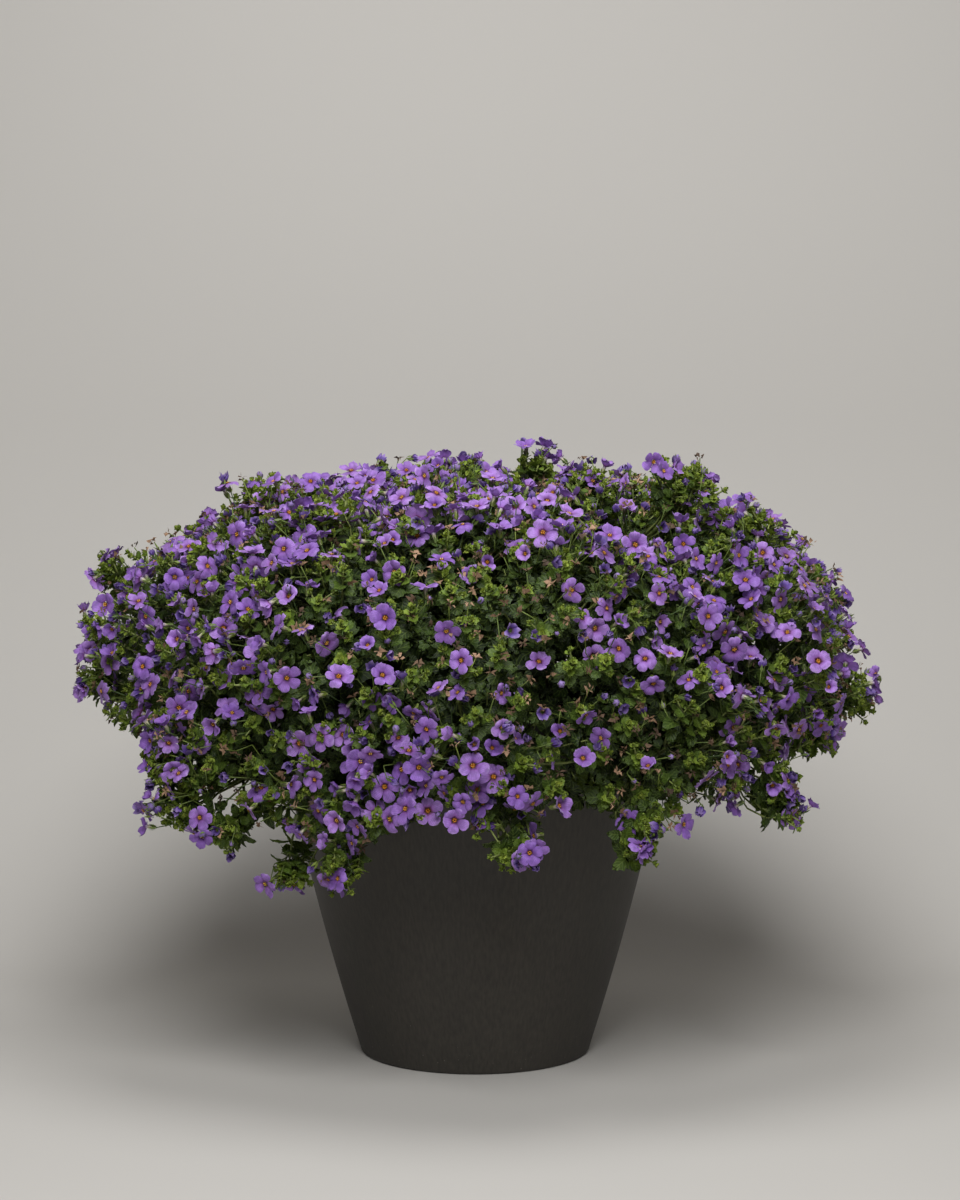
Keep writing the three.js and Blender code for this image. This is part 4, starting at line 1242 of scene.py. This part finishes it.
def anther_points(bloom):
    """Four anthers in the throat: small pyramids of four corners each."""
    turn = 2 * math.pi * (np.arange(4) + 0.5) / 4
    centre = np.stack([0.085 * np.cos(turn), 0.085 * np.sin(turn), np.full(4, 0.03)], 1)
    corner = np.array([[0.055, 0, 0], [-0.03, 0.05, 0], [-0.03, -0.05, 0], [0, 0, 0.08]])
    local = (centre[:, None] + corner[None]).reshape(1, -1, 3)
    return local * bloom["size"][:, None, None]


def fan_points(rows):
    """Five sepals round an axis. Each has four points, for which the rows give the distance
    from the axis, the distance from the sepal's midline and the height."""
    turn = 2 * math.pi * np.arange(5) / 5
    out, side = np.stack([np.cos(turn), np.sin(turn)], 1), np.stack([-np.sin(turn), np.cos(turn)], 1)
    points = [np.column_stack([out * a + side * b, np.full(5, z)]) for a, b, z in rows]
    return np.stack(points, 1).reshape(1, -1, 3)


# Sepals, as rows for the function above: green ones that point forward, dry ones that spread
GREEN_SEPAL = [(0.9, 0, 0), (1.5, 0.8, 2.2), (1.5, -0.8, 2.2), (2.1, 0, 5.2)]
DRY_SEPAL = [(0.2, 0, 0), (1.8, 0.8, 1.5), (1.8, -0.8, 1.5), (3.6, 0, 1.4)]


def calyx_points(bloom, rng):
    """Five narrow sepals round the foot of the tube, which point forward."""
    local = fan_points(GREEN_SEPAL)
    return local - UP * (TUBE_LENGTH + 0.4) + rng.normal(0, 0.15, (len(bloom["size"]), 20, 3))


def repeated(faces, count, size):
    """The faces of a shape that stands several times in one copy."""
    return copies(np.array(faces), count, size)


def lobe_faces(outline):
    """The quads of five lobes."""
    return [repeated(grid_faces(len(outline), 3), LOBES, 3 * len(outline))]


def lobe_uv(outline):
    """The first coordinate runs along a lobe, and the second across it."""
    along = np.repeat(outline[:, 0], 3)
    return np.tile(np.stack([along, np.tile([0, 0.5, 1], len(outline))], -1), (LOBES, 1))


TUBE_UV = np.stack([np.repeat([0.0, 0.5, 1.0], LOBES), np.full(TUBE_RINGS * LOBES, 0.5)], -1)
THROAT_UV = np.stack([np.repeat([0.0, 1.0], LOBES), np.full(2 * LOBES, 0.5)], -1)
TETRA = [[0, 2, 1], [0, 1, 3], [1, 2, 3], [2, 0, 3]]
ANTHER_FACES = [repeated(TETRA, 4, 4)]
CALYX_FACES = [repeated([[0, 2, 1], [1, 2, 3]], 5, 4)]
print("points of a flower's lobes:", len(lobe_uv(LOBE)))


# %% [markdown]
# ## Where the flowers stand
# Flowers stand a little apart, in drifts: a slow wave over the mound makes some places
# richer than others. Each flower faces outwards and slightly up, with a random turn. Its
# stalk leaves the nearest shoot a little below that shoot's tip.

# %% Placing flowers
# The wave that makes the drifts: seed, number of sines, and how quickly it changes
DRIFTS = (8, 6, 8)
# How far below a shoot's tip a stalk starts, and how far flowers stand out of a bunch
STALK_START = (15, 32)
BUNCH_RISE = 4
BLOOM_SIZES = (0.84, 1.12)
HALF_OPEN_SIZE = 0.82


def along_to(shoots, index, distance):
    """The points of some shoots that lie a given distance before their tips."""
    t = np.maximum(1 - distance / (CURVE_LENGTH * shoots["length"][index]), 0.1)
    chosen = {key: value[index] for key, value in shoots.items()}
    return along_shoot(chosen, t[:, None])[:, 0]


def place_blooms(seed, spacing, depth, share, drift, wander, each, lift=0.18):
    """Flowers, buds or old flowers: their place, the way that they face, their size and the
    point of a shoot that their stalk grows from. Each bunch that stands out gets some too."""
    rng = np.random.default_rng(seed)
    v = scatter(seed, spacing, tries=30000, hem_drop=3.0)
    v = v[rng.uniform(0, 1, len(v)) < share + drift * waves(v, *DRIFTS)]
    more, outer = bunches(seed, each)
    depths = np.concatenate([rng.uniform(*depth, len(v)) + relief(v), outer - BUNCH_RISE])
    v = np.concatenate([v, more])
    count = len(v)
    centre = under(v, depths)
    facing = unit(outward(v) + lift * UP + rng.normal(0, wander, (count, 3)))
    gap = ((centre[:, None] - FRESH["tip"][None]) ** 2).sum(-1)
    nearest = np.argmin(gap, axis=1)
    anchor = along_to(FRESH, nearest, rng.uniform(*STALK_START, count))
    return {"centre": centre, "facing": facing, "spray": FRESH["spray"][nearest], "anchor": anchor,
            "size": BLOOM_RADIUS * rng.uniform(*BLOOM_SIZES, count),
            "cup": np.clip(rng.normal(0.5, 0.34, count), -0.3, 1.2),
            "curl": rng.normal(-0.05, 0.42, count),
            "tint": rng.uniform(0, 1, count), "age": rng.uniform(0, 1, count), "rng": rng}


def flower_axes(bloom, sway=0.35):
    """Axes of each flower: to its right, up its face and out of it. A flower hangs with its
    lowest lobe down, give or take a little sway."""
    facing = bloom["facing"]
    up = UP + bloom["rng"].normal(0, sway, facing.shape)
    up = unit(up - facing * (up * facing).sum(-1, keepdims=True))
    return np.stack([np.cross(up, facing), up, facing], -2)


STALK_RINGS = 3
STALK_SIDES = 3
STALK_RADIUS = 0.38
STALK_FACES = tube_faces(STALK_RINGS, STALK_SIDES)


def stalks(bloom, back):
    """The stalk's curve: from the shoot to the foot of the flower, which it meets from behind."""
    foot = bloom["centre"] - bloom["facing"] * back
    reach_back = np.linalg.norm(foot - bloom["anchor"], axis=1, keepdims=True)
    control = foot - bloom["facing"] * (0.5 * reach_back)
    paths = bezier(bloom["anchor"], control, foot, STALK_RINGS)
    return tube_points(paths, np.full(paths.shape[:2], STALK_RADIUS), STALK_SIDES)


def half_open(bloom, share):
    """Some of the flowers are only half open: smaller, with lobes that point forwards."""
    chosen = bloom["rng"].uniform(0, 1, len(bloom["size"])) < share
    bloom["cup"] = np.where(chosen, 0.8 + bloom["cup"] / 2, bloom["cup"])
    bloom["curl"] = np.where(chosen, 0.8 + bloom["curl"], bloom["curl"])
    bloom["size"] = np.where(chosen, HALF_OPEN_SIZE, 1.0) * bloom["size"]
    return bloom


BLOOMS = half_open(place_blooms(41, 11.0, (-6, 20), 0.56, 0.36, 0.62, 3), 0.22)
print("flowers:", len(BLOOMS["size"]))


# %% [markdown]
# ## Finishes of the flowers
# A petal is thinner and softer than a leaf, so more light passes through it. Its colour
# follows the distance from the throat: a dark ring that is painted shade of the inside of the
# tube, a pinker zone, clear violet, and a paler rim, with fine darker veins. The throat and its
# anthers are orange-yellow, and the throat is painted darker where it meets the lobes, as
# shade.

# %% Petal materials
def petal_material(name, stops, tinted, glow):
    """Petal: a film of cells filled with coloured sap. It gives a velvety, diffuse front
    and lets light through. The colour follows the first surface coordinate."""
    material, tree = new_material(name)
    along, across = surface_of(tree)
    tint = add(tree, "ShaderNodeAttribute", attribute_name="tint", out="Fac")
    colour = add(tree, "ShaderNodeValToRGB", {"Fac": along}, stops=stops)
    share = add(tree, "ShaderNodeMath", {0: tint, 1: 0.65}, operation="MULTIPLY")
    colour = add(tree, "ShaderNodeMix", {"Factor": share, "A": colour, "B": linear(tinted)},
                 data_type="RGBA")
    colour = mottled(tree, colour, 3.5, 2.0, [(0.35, "#cfcfcf"), (0.65, "#ffffff")])
    lines = add(tree, "ShaderNodeMath", {0: across, 1: 44.0}, operation="MULTIPLY")
    lines = add(tree, "ShaderNodeMath", {0: lines}, operation="SINE")
    vein = add(tree, "ShaderNodeMapRange", {
        "Value": lines, "From Min": 0.4, "From Max": 1.0, "To Min": 0.0, "To Max": 0.3,
    })
    colour = add(tree, "ShaderNodeMix", {"Factor": vein, "A": colour, "B": linear("#4d2f86")},
                 data_type="RGBA")
    bump = add(tree, "ShaderNodeBump", {"Height": lines, "Strength": 0.2, "Distance": 0.0003})
    front = add(tree, "ShaderNodeBsdfPrincipled", {
        "Base Color": colour, "Roughness": 0.55, "Normal": bump, "IOR": 1.38,
        "Sheen Weight": 0.15, "Sheen Roughness": 0.35,
    })
    light = add(tree, "ShaderNodeBsdfTranslucent", {"Color": colour})
    finish_material(tree, add(tree, "ShaderNodeMixShader", {0: glow, 1: front, 2: light}))
    return material


def plain_material(name, stops, roughness):
    """Soft plant tissue, matte to satin, whose colour follows the age, with small blotches."""
    material, tree = new_material(name)
    age = add(tree, "ShaderNodeAttribute", attribute_name="age", out="Fac")
    colour = add(tree, "ShaderNodeValToRGB", {"Fac": age}, stops=stops)
    colour = mottled(tree, colour, 1.2, 2.0, [(0.3, "#c4c4c4"), (0.7, "#ffffff")])
    finish_material(tree, add(tree, "ShaderNodeBsdfPrincipled", {
        "Base Color": colour, "Roughness": roughness,
    }))
    return material


# The first two stops, dark red-brown at the throat, are painted shade of the inside of the tube
PETAL = petal_material("fresh violet petal", [
    (0.0, "#541c2e"), (0.06, "#6e3450"), (0.18, "#a46ec0"),
    (0.5, "#b78ade"), (0.85, "#bb8ee0"), (1.0, "#d0b2ee"),
], "#8459bc", 0.2)
WITHERED = petal_material("withered petal", [
    (0.0, "#5c3a5c"), (0.45, "#6f54ac"), (1.0, "#b89cdc"),
], "#45306c", 0.15)
BUD = petal_material("violet bud", [
    (0.0, "#76863f"), (0.35, "#8a74a0"), (1.0, "#a88ecc"),
], "#735fa2", 0.1)
FUNNEL = plain_material("flower tube", [(0.0, "#9a80b8"), (0.35, "#b5ae92"), (1.0, "#98a462")], 0.5)
# Its first stop, dark red-brown where the throat meets the lobes, is painted shade of the inside of the
# tube
THROAT_WALL = plain_material("throat of a flower", [
    (0.0, "#5e2024"), (0.3, "#c87420"), (1.0, "#e6a030"),
], 0.5)
ANTHER = plain_material("anther", [(0.0, "#f0ae34"), (1.0, "#ffd264")], 0.6)
CALYX = plain_material("green calyx", [(0.0, "#7f9038"), (1.0, "#48602a")], 0.6)
DRY = plain_material("dry calyx", [(0.0, "#b08d70"), (0.4, "#806248"), (1.0, "#453325")], 0.8)
print("finishes of the flowers:", PETAL.name, WITHERED.name, BUD.name, FUNNEL.name, sep=", ")


# %% [markdown]
# ## Buds, withered flowers and dry calyxes
# A plant in full flower also carries what comes before and after the flower. Buds are small
# beads of violet on short stalks. A withered flower has shrunk and crumpled: it is a flower
# with fewer rows, its lobes rolled inwards, and much more noise. After it falls the calyx
# dries to a small, pale brown star.

# %% Small parts
BEAD_RINGS = np.array([0.0, 0.28, 0.62, 0.88, 1.0])
BEAD_SIDES = 5
BEAD_TWIST = 0.3


def beads(length, profile, wrinkle, rng):
    """Closed beads: rings of five points whose radius follows the profile, dented at random."""
    count = len(length)
    twist = np.arange(len(BEAD_RINGS))[:, None] * BEAD_TWIST
    turn = np.arange(BEAD_SIDES) * 2 * math.pi / BEAD_SIDES + twist
    dent = rng.uniform(1 - wrinkle, 1 + wrinkle, (count, len(BEAD_RINGS), BEAD_SIDES))
    radius = np.array(profile)[None, :, None] * dent
    x, y = radius * np.cos(turn), radius * np.sin(turn)
    z = BEAD_RINGS[None, :, None] * (1 + rng.normal(0, 0.3 * wrinkle, radius.shape))
    return (np.stack([x, y, z], -1) * length[:, None, None, None]).reshape(count, -1, 3)


BEAD_FACES = tube_faces(len(BEAD_RINGS), BEAD_SIDES)
BEAD_UV = np.stack([
    np.repeat(BEAD_RINGS, BEAD_SIDES), np.tile(np.arange(BEAD_SIDES) / BEAD_SIDES, len(BEAD_RINGS)),
], -1)
BUDS = place_blooms(42, 25.0, (-1, 10), 0.7, 0.2, 0.5, 2)
OLD = place_blooms(43, 14.0, (-1, 14), 0.5, 0.25, 0.7, 2, -0.1)
STARS = place_blooms(44, 10.0, (-1, 11), 0.6, -0.3, 0.6, 1)
OLD["cup"] = OLD["rng"].uniform(0.8, 1.4, len(OLD["cup"]))
OLD["curl"] = OLD["rng"].uniform(0.8, 2.4, len(OLD["cup"]))
OLD["size"] = OLD["size"] * OLD["rng"].uniform(0.55, 0.8, len(OLD["cup"]))
print("buds, withered flowers, dry calyxes:", *(len(x["size"]) for x in (BUDS, OLD, STARS)))


# %% [markdown]
# ## The flower clusters
# What stands on one spray is one mesh too: its flowers, buds, withered flowers and dry
# calyxes, each on a stalk that reaches back to a shoot. It takes the place of the solid
# cluster.

# %% Flower clusters
def chosen_of(bloom, number):
    """The flowers of one spray."""
    own = bloom["spray"] == number
    return {key: value if key == "rng" else value[own] for key, value in bloom.items()}


def flower_parts(bloom):
    """Fresh flowers: lobes, tube, throat, anthers, calyx and stalk."""
    axes, centre, rng = flower_axes(bloom), bloom["centre"], bloom["rng"]
    age, tint = bloom["age"][:, None], bloom["tint"][:, None]
    tube_age = TUBE_UV[None, :, 0]
    return [
        part(place(lobe_points(bloom, LOBE, 0.035, rng), centre, axes), lobe_faces(LOBE),
             PETAL, lobe_uv(LOBE), age, tint),
        part(place(tube_of_bloom(bloom), centre, axes),
             [grid_faces(TUBE_RINGS, LOBES, closed=True)[:, ::-1]], FUNNEL, TUBE_UV, tube_age, tint),
        part(place(throat_of_bloom(bloom), centre, axes), [grid_faces(2, LOBES, closed=True)[:, ::-1]],
             THROAT_WALL, THROAT_UV, THROAT_UV[None, :, 0], tint),
        part(place(anther_points(bloom), centre, axes), ANTHER_FACES, ANTHER, [0.5, 0.5], age, tint),
        part(place(calyx_points(bloom, rng), centre, axes), CALYX_FACES, CALYX, [0.5, 0.5], age, tint),
        part(stalks(bloom, TUBE_LENGTH), STALK_FACES, CALYX, [0.5, 0.5], 1.0, 0.5),
    ]


def withered_parts(bloom):
    """Withered flowers: crumpled lobes in a green calyx, on a stalk."""
    axes, centre, rng = flower_axes(bloom, 1.0), bloom["centre"], bloom["rng"]
    age, tint = bloom["age"][:, None], bloom["tint"][:, None]
    lobes = lobe_points(bloom, CRUMPLED_LOBE, 0.13, rng)
    sepals = calyx_points(bloom, rng) + [0, 0, 3]
    return [
        part(place(lobes, centre, axes), lobe_faces(CRUMPLED_LOBE), WITHERED,
             lobe_uv(CRUMPLED_LOBE), age, tint),
        part(place(sepals, centre, axes), CALYX_FACES, CALYX, [0.5, 0.5], age, tint),
        part(stalks(bloom, TUBE_LENGTH - 3), STALK_FACES, CALYX, [0.5, 0.5], 0.5, 0.5),
    ]


def bead_parts(bloom, profile, length, wrinkle, material, calyx):
    """Beads on stalks, with a calyx at their foot."""
    rng = bloom["rng"]
    axes = flower_axes(bloom)
    size = length * rng.uniform(0.75, 1.25, len(bloom["size"]))
    age, tint = bloom["age"][:, None], bloom["tint"][:, None]
    foot = bloom["centre"] - bloom["facing"] * 1.5
    sepals = calyx_points(bloom, rng) + [0, 0, TUBE_LENGTH]
    return [
        part(place(beads(size, profile, wrinkle, rng), foot, axes), BEAD_FACES, material,
             BEAD_UV, age, tint),
        part(place(sepals, foot, axes), CALYX_FACES, calyx, [0.5, 0.5], age, tint),
        part(stalks(bloom, 1.5), STALK_FACES, calyx, [0.5, 0.5], 0.5, 0.5),
    ]


def star_parts(bloom):
    """Dry calyxes: five narrow sepals that spread like a small, uneven star."""
    rng = bloom["rng"]
    sepals = fan_points(DRY_SEPAL)
    sepals = sepals + rng.normal(0, 0.65, (len(bloom["size"]), 20, 3))
    age = bloom["age"][:, None]
    return [
        part(place(sepals, bloom["centre"], flower_axes(bloom)), CALYX_FACES, DRY,
             [0.5, 0.5], age, 0.5),
        part(stalks(bloom, 0.5), STALK_FACES, CALYX, [0.5, 0.5], age[:, :1], 0.5),
    ]


BUD_PROFILE = [0.16, 0.42, 0.48, 0.3, 0.08]
FLOWER_MATERIALS = [PETAL, FUNNEL, THROAT_WALL, ANTHER, CALYX, BUD, WITHERED, DRY]


def make_flowers():
    """One piece for each spray: its flowers, buds, withered flowers and dry calyxes."""
    total = 0
    for number, name in enumerate(SPRAYS):
        fresh, buds, old, stars = (chosen_of(x, number) for x in (BLOOMS, BUDS, OLD, STARS))
        parts = flower_parts(fresh)
        parts += bead_parts(buds, BUD_PROFILE, 4.0, 0.1, BUD, CALYX)
        parts += withered_parts(old)
        parts += star_parts(stars)
        piece = build(f"{name}_flowers", parts, FLOWER_MATERIALS)
        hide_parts(f"{name}_blooms")
        total += triangles(piece)
    return total


print("flowers:", make_flowers(), "triangles")
